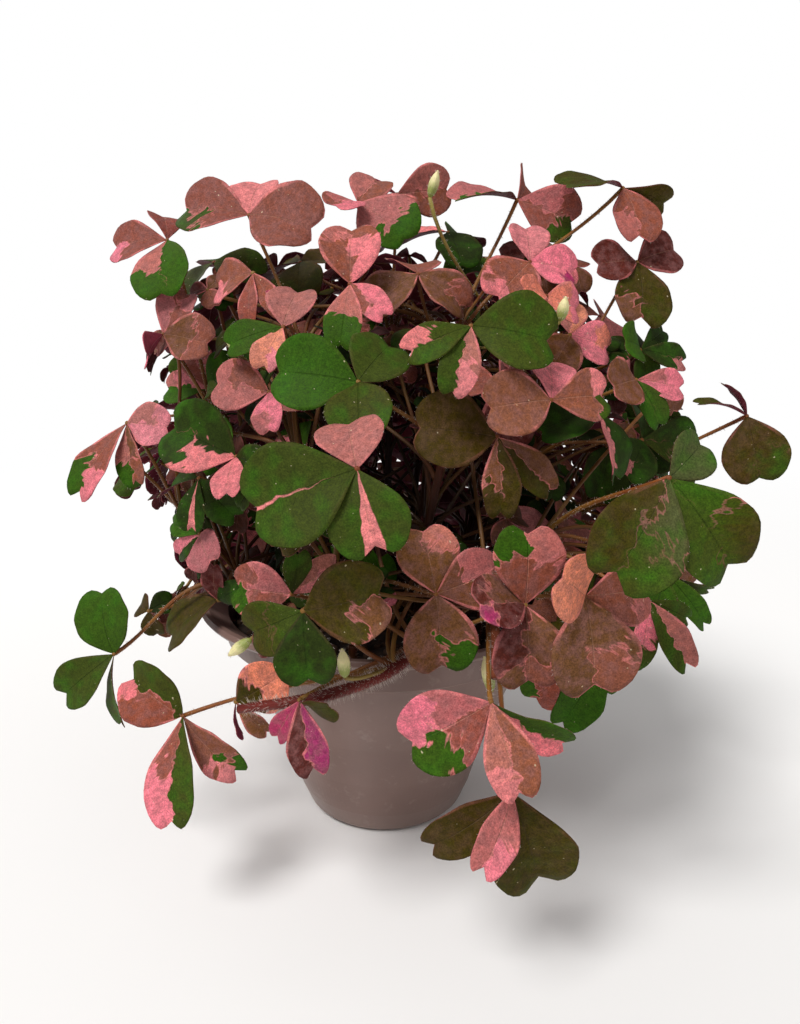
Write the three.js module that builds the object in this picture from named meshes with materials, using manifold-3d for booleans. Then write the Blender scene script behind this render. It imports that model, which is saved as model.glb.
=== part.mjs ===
// A potted Oxalis 'Plum Crazy': a mound of three-part leaves with heart shaped leaflets on thin
// stalks, in a tapered plastic pot. Millimetres, +Z up, the origin at the middle of the pot's base.
// -Y is the front of the plant.

import * as THREE from 'three';
import { mergeVertices } from 'three/addons/utils/BufferGeometryUtils.js';
import Module from 'manifold-3d';

const wasm = await Module();
wasm.setup();

// Sizes.
const POT_HEIGHT = 72;
const POT_LIP_RADIUS = 58;
const POT_SIDES = 28;
const POT_OUTSIDE = [
  [0, 0], [24.2, 0], [26, 1.6], [28.6, 8], [32.2, 20], [37.4, 35], [47.2, 58.4],
  [50.2, 60], [50.8, 66.4], [57.2, 69.6], [POT_LIP_RADIUS, 70.6], [57.4, POT_HEIGHT],
];
const POT_INSIDE = [
  [55.8, POT_HEIGHT], [49.4, 68], [48.6, 61.4], [45.6, 59.6], [35.6, 35.5],
  [30.4, 20.5], [24.2, 2.6], [0, 2.6],
];
const DRAIN_HOLES = 5;
const DRAIN_HOLE_RADIUS = 2.6;
const DRAIN_HOLE_CIRCLE = 17;

const SOIL_SIDES = 20;
const SOIL_TOP = 64;
const SOIL_BUMP = 1.3;
const SOIL_SIDE = [
  [0, 3.1], [23.2, 3.1], [29, 20.6], [34.2, 35.6], [44, 59.4], [47.4, 61.8], [47.6, 63.4],
];
const SOIL_RINGS = [30, 14];

const STEM_HOLE_BOTTOM = 55;
const STEM_HOLE_GAP = 0.7;
const STEM_HOLE_SIDES = 6;
const STEM_FOOT = 55.3;
const STEM_KNEE = 69;
const STEM_STRAIGHT = 66.4;
const STEM_RADIUS = 1.25;
const STEM_STEPS = 6;

const LEAF_THICKNESS = 0.7;
const PETIOLE_RADIUS = 0.62;
const HUB_RADIUS = 0.95;
const SHORTEST_EDGE = 0.02;

// Half of a leaflet's outline: share of its length from the stalk, share of its length sideways.
// The first is the room that it takes, the others are the edges of the leaves in front and of those
// between and round them.
const HALF_OUTLINE = [[0.22, 0.17], [0.54, 0.41], [0.84, 0.48], [1, 0.28]];
const FRONT_OUTLINE = [[0.4, 0.31], [0.8, 0.49], [1, 0.27]];
const PLAIN_OUTLINE = [[0.62, 0.47], [1, 0.27]];
const NOTCH = 0.88;
const MIDRIB = 0.5;
const WIDEST_SLOPE = 0.78;

// Room kept between two blades, a blade and a stalk, two stalks, and round a main stem: among the
// leaves in front, and among those of the sides and the back.
const ROOM = { blade: 2.3, mixed: 2.1, stalk: 1.9, stem: 2.7 };
const ROUND_ROOM = { blade: 1.95, mixed: 1.8, stalk: 1.75, stem: 2.35 };
const SAMPLE_STEP = 2.1;
const STALK_PLACES = [0.6, 0.68, 0.76, 0.83, 0.9, 0.97];

// The view of the plant.
// Where a leaf stands is stated by its place in the picture, in pixels, and its depth, in mm.
const VIEW = { x: 4.9, y: -232.5, z: 152.4, pitch: 13.5, focal: 760, midX: 400, midY: 512 };
const PITCH = VIEW.pitch * Math.PI / 180;

function sightLine(px, py) {
  const across = (px - VIEW.midX) / VIEW.focal;
  const up = (VIEW.midY - py) / VIEW.focal;
  return [
    across,
    Math.cos(PITCH) + up * Math.sin(PITCH),
    up * Math.cos(PITCH) - Math.sin(PITCH),
  ];
}

function atDepth(px, py, y) {
  const line = sightLine(px, py);
  const reach = (y - VIEW.y) / line[1];
  return [VIEW.x + reach * line[0], y, VIEW.z + reach * line[2]];
}

// Small vector sums.
const add = (a, b) => [a[0] + b[0], a[1] + b[1], a[2] + b[2]];
const sub = (a, b) => [a[0] - b[0], a[1] - b[1], a[2] - b[2]];
const mul = (a, k) => [a[0] * k, a[1] * k, a[2] * k];
const dot = (a, b) => a[0] * b[0] + a[1] * b[1] + a[2] * b[2];
const cross = (a, b) => [
  a[1] * b[2] - a[2] * b[1], a[2] * b[0] - a[0] * b[2], a[0] * b[1] - a[1] * b[0],
];
const long = (a) => Math.sqrt(dot(a, a));
const unit = (a) => mul(a, 1 / Math.max(long(a), 1e-9));
const blend = (...terms) => terms.reduce((sum, [v, k]) => add(sum, mul(v, k)), [0, 0, 0]);

function turned(v, axis, angle) {
  const c = Math.cos(angle);
  return blend([v, c], [cross(axis, v), Math.sin(angle)], [axis, dot(axis, v) * (1 - c)]);
}

// A simple seeded row of numbers from 0 to 1.
function seededRow(seed) {
  let state = seed;
  return () => {
    state = (state * 1664525 + 1013904223) % 4294967296;
    return state / 4294967296;
  };
}

// Main stems.
function polar(degrees, radius, z) {
  const a = degrees * Math.PI / 180;
  return [radius * Math.cos(a), radius * Math.sin(a), z];
}

// Upright stems: foot direction in degrees, foot radius, top direction, top radius, top height.
const UPRIGHT_STEMS = [
  [85, 9, 85, 20, 152], [205, 11, 205, 26, 150], [325, 11, 322, 26, 152],
  [20, 26, 18, 52, 130], [72, 26, 72, 50, 132], [128, 26, 130, 52, 130], [183, 26, 185, 52, 128],
  [238, 26, 240, 44, 122], [292, 26, 292, 44, 124], [345, 26, 345, 52, 128],
  [2, 41, 2, 64, 98], [50, 40, 50, 66, 96], [98, 40, 98, 66, 96], [152, 40, 152, 66, 96],
  [197, 41, 195, 62, 100], [258, 39, 258, 54, 98], [322, 40, 318, 58, 100],
];

// Stems that lean over the lip and hang: the points they pass after the soil, and the leaves that
// they bear, by their place in the picture.
const TRAILING_STEMS = [
  { foot: [-35, -16], way: [[-42, -24, 80], [-48, -31, 84]], bears: [[114, 654], [218, 600]] },
  {
    foot: [16, -34],
    way: [[14, -52, 82], [5, -64, 74.5], [-12, -67, 68], [-35, -61, 61]],
    radius: 1.6,
    bears: [[183, 716], [236, 702], [300, 700], [345, 676]],
  },
  {
    foot: [27, -28],
    way: [[27, -50, 84], [27, -68, 84], [26, -77, 77]],
    bears: [[491, 702], [512, 792], [491, 690]],
  },
];

function uprightWay([footAt, footRadius, topAt, topRadius, topHeight]) {
  const foot = polar(footAt, footRadius, STEM_KNEE);
  const top = polar(topAt, topRadius, topHeight);
  const middle = polar(topAt, footRadius + (topRadius - footRadius) * 0.35, 0);
  middle[2] = STEM_KNEE + (topHeight - STEM_KNEE) * 0.5;
  return { foot: [foot[0], foot[1]], way: [middle, top] };
}

const stems = [...UPRIGHT_STEMS.map(uprightWay), ...TRAILING_STEMS].map((plan) => {
  const straight = [STEM_FOOT, STEM_STRAIGHT, STEM_KNEE].map((z) => [...plan.foot, z]);
  return {
    foot: plan.foot,
    radius: plan.radius ?? STEM_RADIUS,
    bears: plan.bears ?? [],
    points: [...straight, ...plan.way],
    leaves: [],
    buds: [],
  };
});

function bearerOf(px, py) {
  return stems.find((stem) => stem.bears.some(([x, y]) => x === px && y === py)) ?? null;
}

// A smooth line through the points; t runs from 0 to 1.
function along(points, t) {
  const last = points.length - 1;
  const place = Math.min(Math.max(t, 0), 1) * last;
  const i = Math.min(Math.floor(place), last - 1);
  const f = place - i;
  const p1 = points[i];
  const p2 = points[i + 1];
  const p0 = i > 0 ? points[i - 1] : sub(mul(p1, 2), p2);
  const p3 = i + 2 <= last ? points[i + 2] : sub(mul(p2, 2), p1);
  return p1.map((v, k) => {
    const a = 2 * v;
    const b = p2[k] - p0[k];
    const c = 2 * p0[k] - 5 * v + 4 * p2[k] - p3[k];
    const d = 3 * v - p0[k] - 3 * p2[k] + p3[k];
    return 0.5 * (a + (b + (c + d * f) * f) * f);
  });
}

class StemLine extends THREE.Curve {
  constructor(points) {
    super();
    this.points = points;
  }

  getPoint(t, target = new THREE.Vector3()) {
    return target.set(...along(this.points, t));
  }
}

// Leaves.
// The leaves that are seen, one row each: picture place of the point where the leaflets meet,
// depth, leaflet size, then where each leaflet points, with a roll in degrees where it shows its
// edge and how far its end comes forward, in mm, where it hangs before its neighbours.
const SEEN_LEAVES = [
  [623, 188, 0, 18, [560, 187, 38], [640, 244], [668, 204, 68]],
  [517, 200, 2, 19, [450, 202, 36], [577, 226, 25], [524, 184, 40]],
  [114, 654, -36, 17, [102, 588], [62, 698], [124, 726, 35]],
  [218, 600, -36, 16, [214, 562], [168, 642, 45], [244, 586]],
  [249, 215, 0, 20, [182, 212], [320, 232], [262, 183]],
  [253, 273, -14, 19, [216, 291], [249, 328], [283, 318]],
  [167, 240, -5, 18, [112, 250], [162, 300], [162, 216, 50]],
  [163, 334, -12, 18, [190, 291], [214, 346], [148, 360, 60]],
  [358, 382, -52, 21, [273, 372], [392, 344], [360, 440]],
  [350, 284, -30, 20, [352, 227], [340, 352], [388, 320]],
  [358, 203, 8, 18, [408, 244], [333, 208], [380, 180]],
  [397, 194, 18, 18, [451, 189, 45], [358, 191, 50], [396, 226]],
  [283, 327, -32, 18, [225, 348], [262, 373], [300, 290]],
  [269, 392, -38, 18, [214, 384], [270, 435], [310, 402]],
  [209, 388, -20, 17, [165, 390], [196, 348], [234, 360]],
  [127, 423, -22, 20, [76, 500], [138, 488], [171, 428]],
  [236, 457, -50, 18, [168, 425], [226, 500], [271, 468]],
  [199, 478, -36, 18, [192, 533], [240, 520], [168, 492, 50]],
  [200, 534, -30, 16, [178, 556], [214, 566], [172, 522]],
  [357, 469, -74, 20, [348, 422], [248, 512], [378, 558]],
  [303, 611, -76, 19, [390, 592], [310, 686], [249, 634]],
  [292, 594, -60, 17, [232, 586], [298, 548, 30], [340, 560]],
  [471, 326, -46, 20, [402, 356], [450, 398], [556, 344]],
  [551, 400, -52, 19, [482, 410], [547, 361], [608, 396]],
  [497, 437, -44, 20, [413, 428], [500, 520], [552, 494]],
  [570, 335, -22, 17, [610, 352], [560, 300], [548, 372]],
  [637, 262, -4, 19, [640, 328], [592, 266], [676, 250]],
  [530, 262, -18, 16, [493, 302], [576, 276], [524, 226]],
  [546, 296, -30, 15, [530, 332], [578, 312], [520, 288]],
  [636, 380, -28, 18, [684, 390], [660, 428], [608, 388]],
  [640, 350, -10, 16, [686, 364], [622, 340], [664, 330]],
  [747, 416, -18, 17, [694, 404, 55], [760, 483, 40], [722, 384, 65]],
  [669, 478, -80, 22, [606, 586], [732, 574], [702, 442, 0, 8]],
  [585, 596, -76, 20, [648, 588], [594, 696], [556, 574]],
  [525, 605, -66, 19, [527, 524], [528, 689], [474, 606, 40]],
  [436, 594, -68, 18, [422, 526], [500, 568], [442, 673]],
  [491, 702, -84, 20, [404, 745], [522, 802, 0, 9], [570, 745, 30]],
  [512, 792, -84, 20, [426, 848, 0, -3], [478, 878, 0, 14], [541, 885, 0, -3]],
  [183, 716, -46, 18, [128, 672], [243, 776], [172, 830]],
  [236, 702, -56, 15, [284, 674], [270, 734], [244, 736, 65]],
  [300, 700, -66, 15, [276, 740, 25], [316, 778], [334, 706, 40]],
  [664, 572, -44, 19, [706, 628], [640, 640], [712, 590, 50]],
  [604, 646, -58, 18, [558, 728], [606, 696], [648, 640]],
  [642, 440, -20, 18, [624, 478], [696, 446], [640, 410]],
  [648, 600, -60, 16, [690, 672], [636, 668], [690, 620]],
];

// Flower buds: picture place of the foot, depth, and picture place of the tip.
const BUDS = [
  [491, 690, -80, [484, 656]], [345, 676, -71, [342, 648]], [250, 640, -58, [228, 656]],
  [560, 320, -34, [566, 296]], [236, 352, -32, [228, 330]], [430, 196, 0, [438, 170]],
];
const BUD_RADIUS = 1.5;

// Leaves between them, seen in part, each turned by its own angle in degrees.
const LEAVES_BETWEEN = [
  [232, 372, -30, 16, 40], [196, 432, -12, 17, 10], [312, 420, -34, 17, 70],
  [330, 318, -14, 17, 50], [418, 274, -18, 17, 30], [448, 232, 0, 17, 80],
  [606, 446, -34, 18, 60], [560, 540, -50, 18, 95], [612, 520, -44, 18, 35],
  [600, 316, 2, 17, 75], [486, 258, 4, 17, 20], [214, 262, 0, 17, 65],
  [300, 262, 4, 18, 110], [500, 388, -24, 17, 90], [352, 540, -46, 18, 0],
  [660, 430, -4, 18, 105], [270, 500, -30, 17, 85], [570, 650, -40, 17, 50],
  [690, 520, -28, 18, 10],
];

// Leaves of the sides, the back and the top.
const ROUND_LEAVES = 46;
const ROUND_TRIES = 2500;
const ROUND_SPREAD = 4.8;
const ROUND_SHRINK = 0.45;
const MOUND = { z: 92, wide: 92, high: 84, low: 44 };

// Parts of the view that the mound leaves bare: beside the pot on the left, on the right and below.
const BARE = [[0, 190, 500, 1024], [690, 800, 590, 1024], [0, 800, 690, 1024]];

// Which way a leaf faces: up, out from the mound and towards the light at the front.
function facing(hub, out, up, front) {
  const outward = unit([hub[0], hub[1], (hub[2] - MOUND.z) * 0.7]);
  return unit(blend([outward, out], [[0, 0, 1], up], [[0, -1, 0], front]));
}

// The leaflet's end on its sight line, in the leaf's plane where its length allows it.
function endOnSight(hub, normal, size, [px, py, , near = 0]) {
  const eye = [VIEW.x, VIEW.y, VIEW.z];
  const line = sightLine(px, py);
  const slant = dot(line, normal);
  const least = size * 0.8;
  const most = size * 1.2;
  const nearest = dot(sub(hub, eye), line) / dot(line, line);
  const offset = long(sub(add(eye, mul(line, nearest)), hub));
  const flat = Math.abs(slant) > 0.08 ? dot(sub(hub, eye), normal) / slant : nearest;
  const gap = long(sub(add(eye, mul(line, flat)), hub));
  const wanted = Math.min(Math.max(gap, least), most);
  const side = flat < nearest ? -1 : 1;
  const depth = Math.sqrt(Math.max(wanted * wanted - offset * offset, 0)) / long(line);
  return add(eye, mul(line, nearest + side * depth - near / long(line)));
}

function makeLeaflet(hub, normal, end, roll, width, fold) {
  const length = long(sub(end, hub));
  const d = unit(sub(end, hub));
  let n = unit(sub(normal, mul(d, dot(normal, d))));
  let side = cross(n, d);
  if (roll) {
    n = turned(n, d, roll * Math.PI / 180);
    side = turned(side, d, roll * Math.PI / 180);
  }
  return { hub, d, n, side, length, width, fold };
}

// A point of the blade: share along, share sideways, and height above its middle plane.
function bladePoint(leaflet, s, w, lift) {
  const rise = leaflet.fold * Math.abs(w) * leaflet.width + 0.32 * s * (1 - s);
  return blend(
    [leaflet.hub, 1], [leaflet.d, s * leaflet.length],
    [leaflet.side, w * leaflet.width * leaflet.length], [leaflet.n, rise * leaflet.length + lift],
  );
}

function halfWidth(s) {
  const line = [[0, 0.03], ...HALF_OUTLINE];
  for (let i = 1; i < line.length; i += 1) {
    if (s <= line[i][0]) {
      const f = (s - line[i - 1][0]) / (line[i][0] - line[i - 1][0]);
      return line[i - 1][1] + f * (line[i][1] - line[i - 1][1]);
    }
  }
  return line[line.length - 1][1];
}

// A leaf of three leaflets: their ends in turn about the leaf's normal, and no wider than the
// angle between neighbours allows.
function makeLeaf(hub, normal, ends, random, outline = FRONT_OUTLINE) {
  const u = unit(cross(normal, Math.abs(normal[2]) < 0.9 ? [0, 0, 1] : [1, 0, 0]));
  const v = cross(normal, u);
  const parts = ends.map(({ end, roll }) => {
    const d = unit(sub(end, hub));
    return { end, roll, d, angle: Math.atan2(dot(d, v), dot(d, u)) };
  });
  parts.sort((a, b) => a.angle - b.angle);
  const leaflets = parts.map((part, i) => {
    const others = [parts[(i + 1) % 3], parts[(i + 2) % 3]];
    const nearest = Math.min(...others.map((o) => Math.acos(Math.min(dot(part.d, o.d), 1))));
    const width = Math.min(0.95, Math.tan(Math.min(nearest, 2.4) / 2) * 0.97 / WIDEST_SLOPE);
    const fold = 0.12 + 0.22 * random();
    return makeLeaflet(hub, normal, part.end, part.roll, width, fold);
  });
  const corners = parts.map((part, i) => {
    const before = parts[(i + 2) % 3].angle - (i === 0 ? 2 * Math.PI : 0);
    return (part.angle + before) / 2;
  });
  return { hub, normal, u, v, leaflets, corners, outline };
}

function leafSamples(leaf) {
  const points = [];
  for (const leaflet of leaf.leaflets) {
    const rows = Math.ceil(leaflet.length * 0.86 / SAMPLE_STEP);
    for (let i = 0; i <= rows; i += 1) {
      const s = 0.16 + 0.86 * i / rows;
      const half = halfWidth(s);
      const across = Math.ceil(2 * half * leaflet.width * leaflet.length / SAMPLE_STEP);
      for (let j = 0; j <= across; j += 1) {
        points.push(bladePoint(leaflet, s, half * (2 * j / Math.max(across, 1) - 1), 0));
      }
    }
  }
  return points;
}

// Stalks.
function makePetiole(leaf, stem, t) {
  const from = along(stem.points, t);
  const ahead = unit(sub(along(stem.points, Math.min(t + 0.02, 1)),
    along(stem.points, Math.min(t + 0.02, 1) - 0.04)));
  const to = sub(leaf.hub, mul(leaf.normal, LEAF_THICKNESS / 2));
  const span = sub(to, from);
  const length = long(span);
  const straight = unit(span);
  const leave = unit(blend([ahead, 0.5], [straight, 0.6], [[0, 0, 1], 0.25]));
  const arrive = unit(blend([leaf.normal, 0.45], [straight, 0.8]));
  return {
    from, length, to,
    a: add(from, mul(leave, length * 0.34)),
    b: sub(to, mul(arrive, length * 0.34)),
    steps: length > 45 ? 4 : 3,
  };
}

function petiolePoint(p, t) {
  const q = 1 - t;
  return blend([p.from, q * q * q], [p.a, 3 * q * q * t], [p.b, 3 * q * t * t], [p.to, t * t * t]);
}

function petioleSamples(petiole) {
  const count = Math.ceil(petiole.length / SAMPLE_STEP) + 1;
  const points = [];
  for (let i = 1; i < count; i += 1) {
    const t = i / count;
    if (t * petiole.length > 4 && (1 - t) * petiole.length > 1) {
      points.push(petiolePoint(petiole, t));
    }
  }
  return points;
}

// Room between the pieces.
class Room {
  constructor(gaps) {
    this.cells = new Map();
    this.size = 3;
    this.gaps = gaps;
  }

  key(p, di, dj, dk) {
    const i = Math.floor(p[0] / this.size) + di + 512;
    const j = Math.floor(p[1] / this.size) + dj + 512;
    const k = Math.floor(p[2] / this.size) + dk + 512;
    return (i * 1024 + j) * 1024 + k;
  }

  put(points, kind, owner) {
    for (const p of points) {
      const key = this.key(p, 0, 0, 0);
      if (!this.cells.has(key)) this.cells.set(key, []);
      this.cells.get(key).push([p, kind, owner]);
    }
  }

  gap(a, b) {
    if (a === 'stem' || b === 'stem') return this.gaps.stem;
    return a === b ? this.gaps[a] : this.gaps.mixed;
  }

  free(points, kind, owner = null) {
    for (const p of points) {
      if (!clearOfPot(p)) return false;
      for (let n = 0; n < 27; n += 1) {
        const near = this.cells.get(this.key(p, n % 3 - 1, Math.floor(n / 3) % 3 - 1,
          Math.floor(n / 9) - 1));
        if (!near) continue;
        for (const [q, other, whose] of near) {
          if (owner && whose === owner && kind === 'stalk' && other !== 'blade') continue;
          const gap = this.gap(kind, other);
          const dx = p[0] - q[0];
          const dy = p[1] - q[1];
          const dz = p[2] - q[2];
          if (dx * dx + dy * dy + dz * dz < gap * gap) return false;
        }
      }
    }
    return true;
  }
}

function clearOfPot(p) {
  const r = Math.hypot(p[0], p[1]);
  if (p[2] < 4) return false;
  if (r > POT_LIP_RADIUS + 2.5) return true;
  return p[2] > POT_HEIGHT + 2 || (r < 46 && p[2] > SOIL_TOP + 3);
}

const room = new Room(ROOM);
for (const stem of stems) {
  const points = [];
  for (let i = 0; i <= 60; i += 1) points.push(along(stem.points, i / 60));
  room.put(points, 'stem', stem);
}

// The stem and the place on it that a leaf's stalk fits, the best length and lean first.
function stalkFor(leaf, bearer) {
  const options = [];
  for (const stem of bearer ? [bearer] : stems) {
    for (const t of STALK_PLACES) {
      const from = along(stem.points, t);
      const span = sub(leaf.hub, from);
      const length = long(span);
      if (length < 10 || length > 88 || from[2] < STEM_KNEE + 4) continue;
      const lean = dot(unit(span), unit([leaf.hub[0], leaf.hub[1], 30]));
      const crowd = stem.leaves.length * 1.5;
      options.push({ stem, t, cost: Math.abs(length - 32) + 22 * (1 - lean) + crowd });
    }
  }
  options.sort((a, b) => a.cost - b.cost);
  for (const { stem, t } of options.slice(0, 60)) {
    const petiole = makePetiole(leaf, stem, t);
    const taken = stem.leaves.some((other) => Math.abs(other.t - t) < 0.015
      && long(sub(other.petiole.a, petiole.a)) < 5);
    if (!taken && room.free(petioleSamples(petiole), 'stalk', stem)) return { stem, t, petiole };
  }
  return null;
}

function place(leaf, bearer = null) {
  const blades = leafSamples(leaf);
  if (!room.free(blades, 'blade')) return false;
  const stalk = stalkFor(leaf, bearer);
  if (!stalk) return false;
  room.put(blades, 'blade', stalk.stem);
  room.put(petioleSamples(stalk.petiole), 'stalk', stalk.stem);
  stalk.stem.leaves.push({ ...leaf, t: stalk.t, petiole: stalk.petiole });
  return true;
}

// Three leaflets evenly round a leaf, drooping from its middle.
function evenEnds(hub, normal, size, turn, droop) {
  const u = unit(cross(normal, Math.abs(normal[2]) < 0.9 ? [0, 0, 1] : [1, 0, 0]));
  return [0, 1, 2].map((i) => {
    const flat = turned(u, normal, turn + i * 2 * Math.PI / 3);
    const d = blend([flat, Math.cos(droop)], [normal, -Math.sin(droop)]);
    return { end: add(hub, mul(d, size)), roll: 0 };
  });
}

const DEPTH_SHIFTS = [0, 2, -2, 4, -4, 6, -6, 9, -9, 12, -12, 15, 18, 21, 25, 30, 36, 44, 52];
const missed = [];

function placeSeen([px, py, depth, size, ...tips], random) {
  for (const shift of DEPTH_SHIFTS) {
    const hub = atDepth(px, py, depth + shift);
    const normal = facing(hub, 0.45, 0.3, 1);
    const ends = tips.map((tip) => ({
      end: endOnSight(hub, normal, size, tip), roll: tip[2] ?? 0,
    }));
    if (place(makeLeaf(hub, normal, ends, random), bearerOf(px, py))) return;
  }
  missed.push([px, py]);
}

function inView(p) {
  const v = sub(p, [VIEW.x, VIEW.y, VIEW.z]);
  const ahead = v[1] * Math.cos(PITCH) - v[2] * Math.sin(PITCH);
  const up = v[1] * Math.sin(PITCH) + v[2] * Math.cos(PITCH);
  return [VIEW.midX + VIEW.focal * v[0] / ahead, VIEW.midY - VIEW.focal * up / ahead];
}

function isBare(p) {
  const [px, py] = inView(p);
  return BARE.some(([left, right, top, bottom]) => px > left && px < right && py > top && py < bottom);
}

function placeBetween([px, py, depth, size, turn], random) {
  for (const shift of DEPTH_SHIFTS) {
    const hub = atDepth(px, py, depth + shift);
    const normal = facing(hub, 0.5, 0.6, 0.6);
    const ends = evenEnds(hub, normal, size, turn * Math.PI / 180, 0.45);
    if (place(makeLeaf(hub, normal, ends, random, PLAIN_OUTLINE))) return;
  }
  missed.push([px, py]);
}

function placeRound(random) {
  let placed = 0;
  room.gaps = ROUND_ROOM;
  for (let i = 0; i < ROUND_TRIES && placed < ROUND_LEAVES; i += 1) {
    const azimuth = Math.PI / 2 + ROUND_SPREAD * ((i * 0.618034) % 1 - 0.5) + 0.2 * random();
    const rise = random() * 1.25 - 0.25;
    const reach = 0.6 + 0.36 * random();
    const size = (17 + 5 * random()) * (1 - ROUND_SHRINK * i / ROUND_TRIES);
    const turn = 2.1 * random();
    const droop = 0.3 + 0.4 * random();
    const level = Math.sin(Math.max(Math.min(rise, 1), -1) * Math.PI / 2);
    const out = Math.sqrt(1 - level * level) * MOUND.wide * reach;
    const height = MOUND.z + level * (level > 0 ? MOUND.high : MOUND.low) * reach;
    const hub = [out * Math.cos(azimuth), out * Math.sin(azimuth), height];
    const normal = facing(hub, 0.8, 0.7, 0);
    const ends = evenEnds(hub, normal, size, turn, droop);
    if (ends.some(({ end }) => isBare(end))) continue;
    if (place(makeLeaf(hub, normal, ends, random, PLAIN_OUTLINE))) placed += 1;
  }
}

// A bud on a stalk of its own, pointing from its foot to its tip.
function placeBud([px, py, depth, [tipX, tipY]]) {
  for (const shift of DEPTH_SHIFTS) {
    const hub = atDepth(px, py, depth + shift);
    const tip = atDepth(tipX, tipY, depth + shift);
    const normal = unit(sub(tip, hub));
    const points = [0.1, 0.4, 0.7, 1].map((f) => add(hub, mul(sub(tip, hub), f)));
    if (!room.free(points, 'blade')) continue;
    const stalk = stalkFor({ hub, normal }, bearerOf(px, py));
    if (!stalk) continue;
    room.put(points, 'blade', stalk.stem);
    room.put(petioleSamples(stalk.petiole), 'stalk', stalk.stem);
    stalk.stem.buds.push({ hub, tip, normal, petiole: stalk.petiole });
    return;
  }
  missed.push([px, py]);
}

const random = seededRow(20261);
for (const row of SEEN_LEAVES) placeSeen(row, random);
for (const row of BUDS) placeBud(row);
for (const row of LEAVES_BETWEEN) placeBetween(row, random);
placeRound(random);

// Solids.
function solidOf(positions, triangles) {
  const mesh = new wasm.Mesh({
    numProp: 3,
    vertProperties: new Float32Array(positions.flat()),
    triVerts: new Uint32Array(triangles.flat()),
  });
  return new wasm.Manifold(mesh);
}

function mergedOf(geometry) {
  const plain = geometry.clone();
  plain.deleteAttribute('normal');
  plain.deleteAttribute('uv');
  return mergeVertices(plain, 1e-4);
}

function solidOfGeometry(geometry) {
  const merged = mergedOf(geometry);
  return new wasm.Manifold(new wasm.Mesh({
    numProp: 3,
    vertProperties: new Float32Array(merged.attributes.position.array),
    triVerts: new Uint32Array(merged.index.array),
  }));
}

// One leaf and its stalk as one closed surface: a three sided stalk whose last section carries a
// leaflet on each side.
function leafSolid(leaf) {
  const half = LEAF_THICKNESS / 2;
  const positions = [];
  const triangles = [];
  const point = (p) => positions.push(p) - 1;
  const rim = (lift) => leaf.corners.map((angle) => point(blend(
    [leaf.hub, 1], [leaf.u, HUB_RADIUS * Math.cos(angle)], [leaf.v, HUB_RADIUS * Math.sin(angle)],
    [leaf.normal, lift],
  )));
  const top = rim(half);
  const bottom = rim(-half);
  triangles.push([top[0], top[1], top[2]]);
  const lobe = leaf.outline.length;
  const last = 2 * lobe + 2;
  leaf.leaflets.forEach((leaflet, i) => {
    const next = (i + 1) % 3;
    const face = (lift, right, left) => {
      const edge = (side) => leaf.outline.map(([s, w]) => point(bladePoint(leaflet, s, side * w, lift)));
      const outline = [right, ...edge(-1), point(bladePoint(leaflet, NOTCH, 0, lift)),
        ...edge(1).reverse(), left];
      return { outline, middle: point(bladePoint(leaflet, MIDRIB, 0, lift)) };
    };
    const upper = face(half, top[i], top[next]);
    const lower = face(-half, bottom[i], bottom[next]);
    const fan = ({ outline: o, middle: m }) => {
      const faces = [[o[last], o[0], m], [o[lobe - 1], o[lobe], o[lobe + 1]],
        [o[lobe - 1], o[lobe + 1], m], [o[lobe + 1], o[lobe + 2], o[lobe + 3]],
        [o[lobe + 1], o[lobe + 3], m]];
      for (let k = 0; k < lobe - 1; k += 1) {
        faces.push([o[k], o[k + 1], m], [o[last - k - 1], o[last - k], m]);
      }
      return faces;
    };
    triangles.push(...fan(upper));
    triangles.push(...fan(lower).map(([a, b, c]) => [a, c, b]));
    for (let k = 0; k < last; k += 1) {
      const [a, b] = [upper.outline[k], upper.outline[k + 1]];
      const [c, d] = [lower.outline[k], lower.outline[k + 1]];
      triangles.push([a, c, d], [a, d, b]);
    }
  });
  let ring = bottom;
  let frame = [leaf.u, leaf.v, leaf.normal];
  for (let k = leaf.petiole.steps - 1; k >= 0; k -= 1) {
    const t = k / leaf.petiole.steps;
    const centre = petiolePoint(leaf.petiole, t);
    const dir = unit(sub(petiolePoint(leaf.petiole, t + 0.01), petiolePoint(leaf.petiole, t - 0.01)));
    const u = unit(sub(frame[0], mul(dir, dot(frame[0], dir))));
    const v = cross(dir, u);
    frame = [u, v, dir];
    const lower = leaf.corners.map((angle) => point(blend(
      [centre, 1], [u, PETIOLE_RADIUS * Math.cos(angle)], [v, PETIOLE_RADIUS * Math.sin(angle)],
    )));
    for (let i = 0; i < 3; i += 1) {
      const next = (i + 1) % 3;
      triangles.push([ring[i], lower[i], lower[next]], [ring[i], lower[next], ring[next]]);
    }
    ring = lower;
  }
  triangles.push([ring[0], ring[2], ring[1]]);
  return solidOf(positions, triangles);
}

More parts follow.
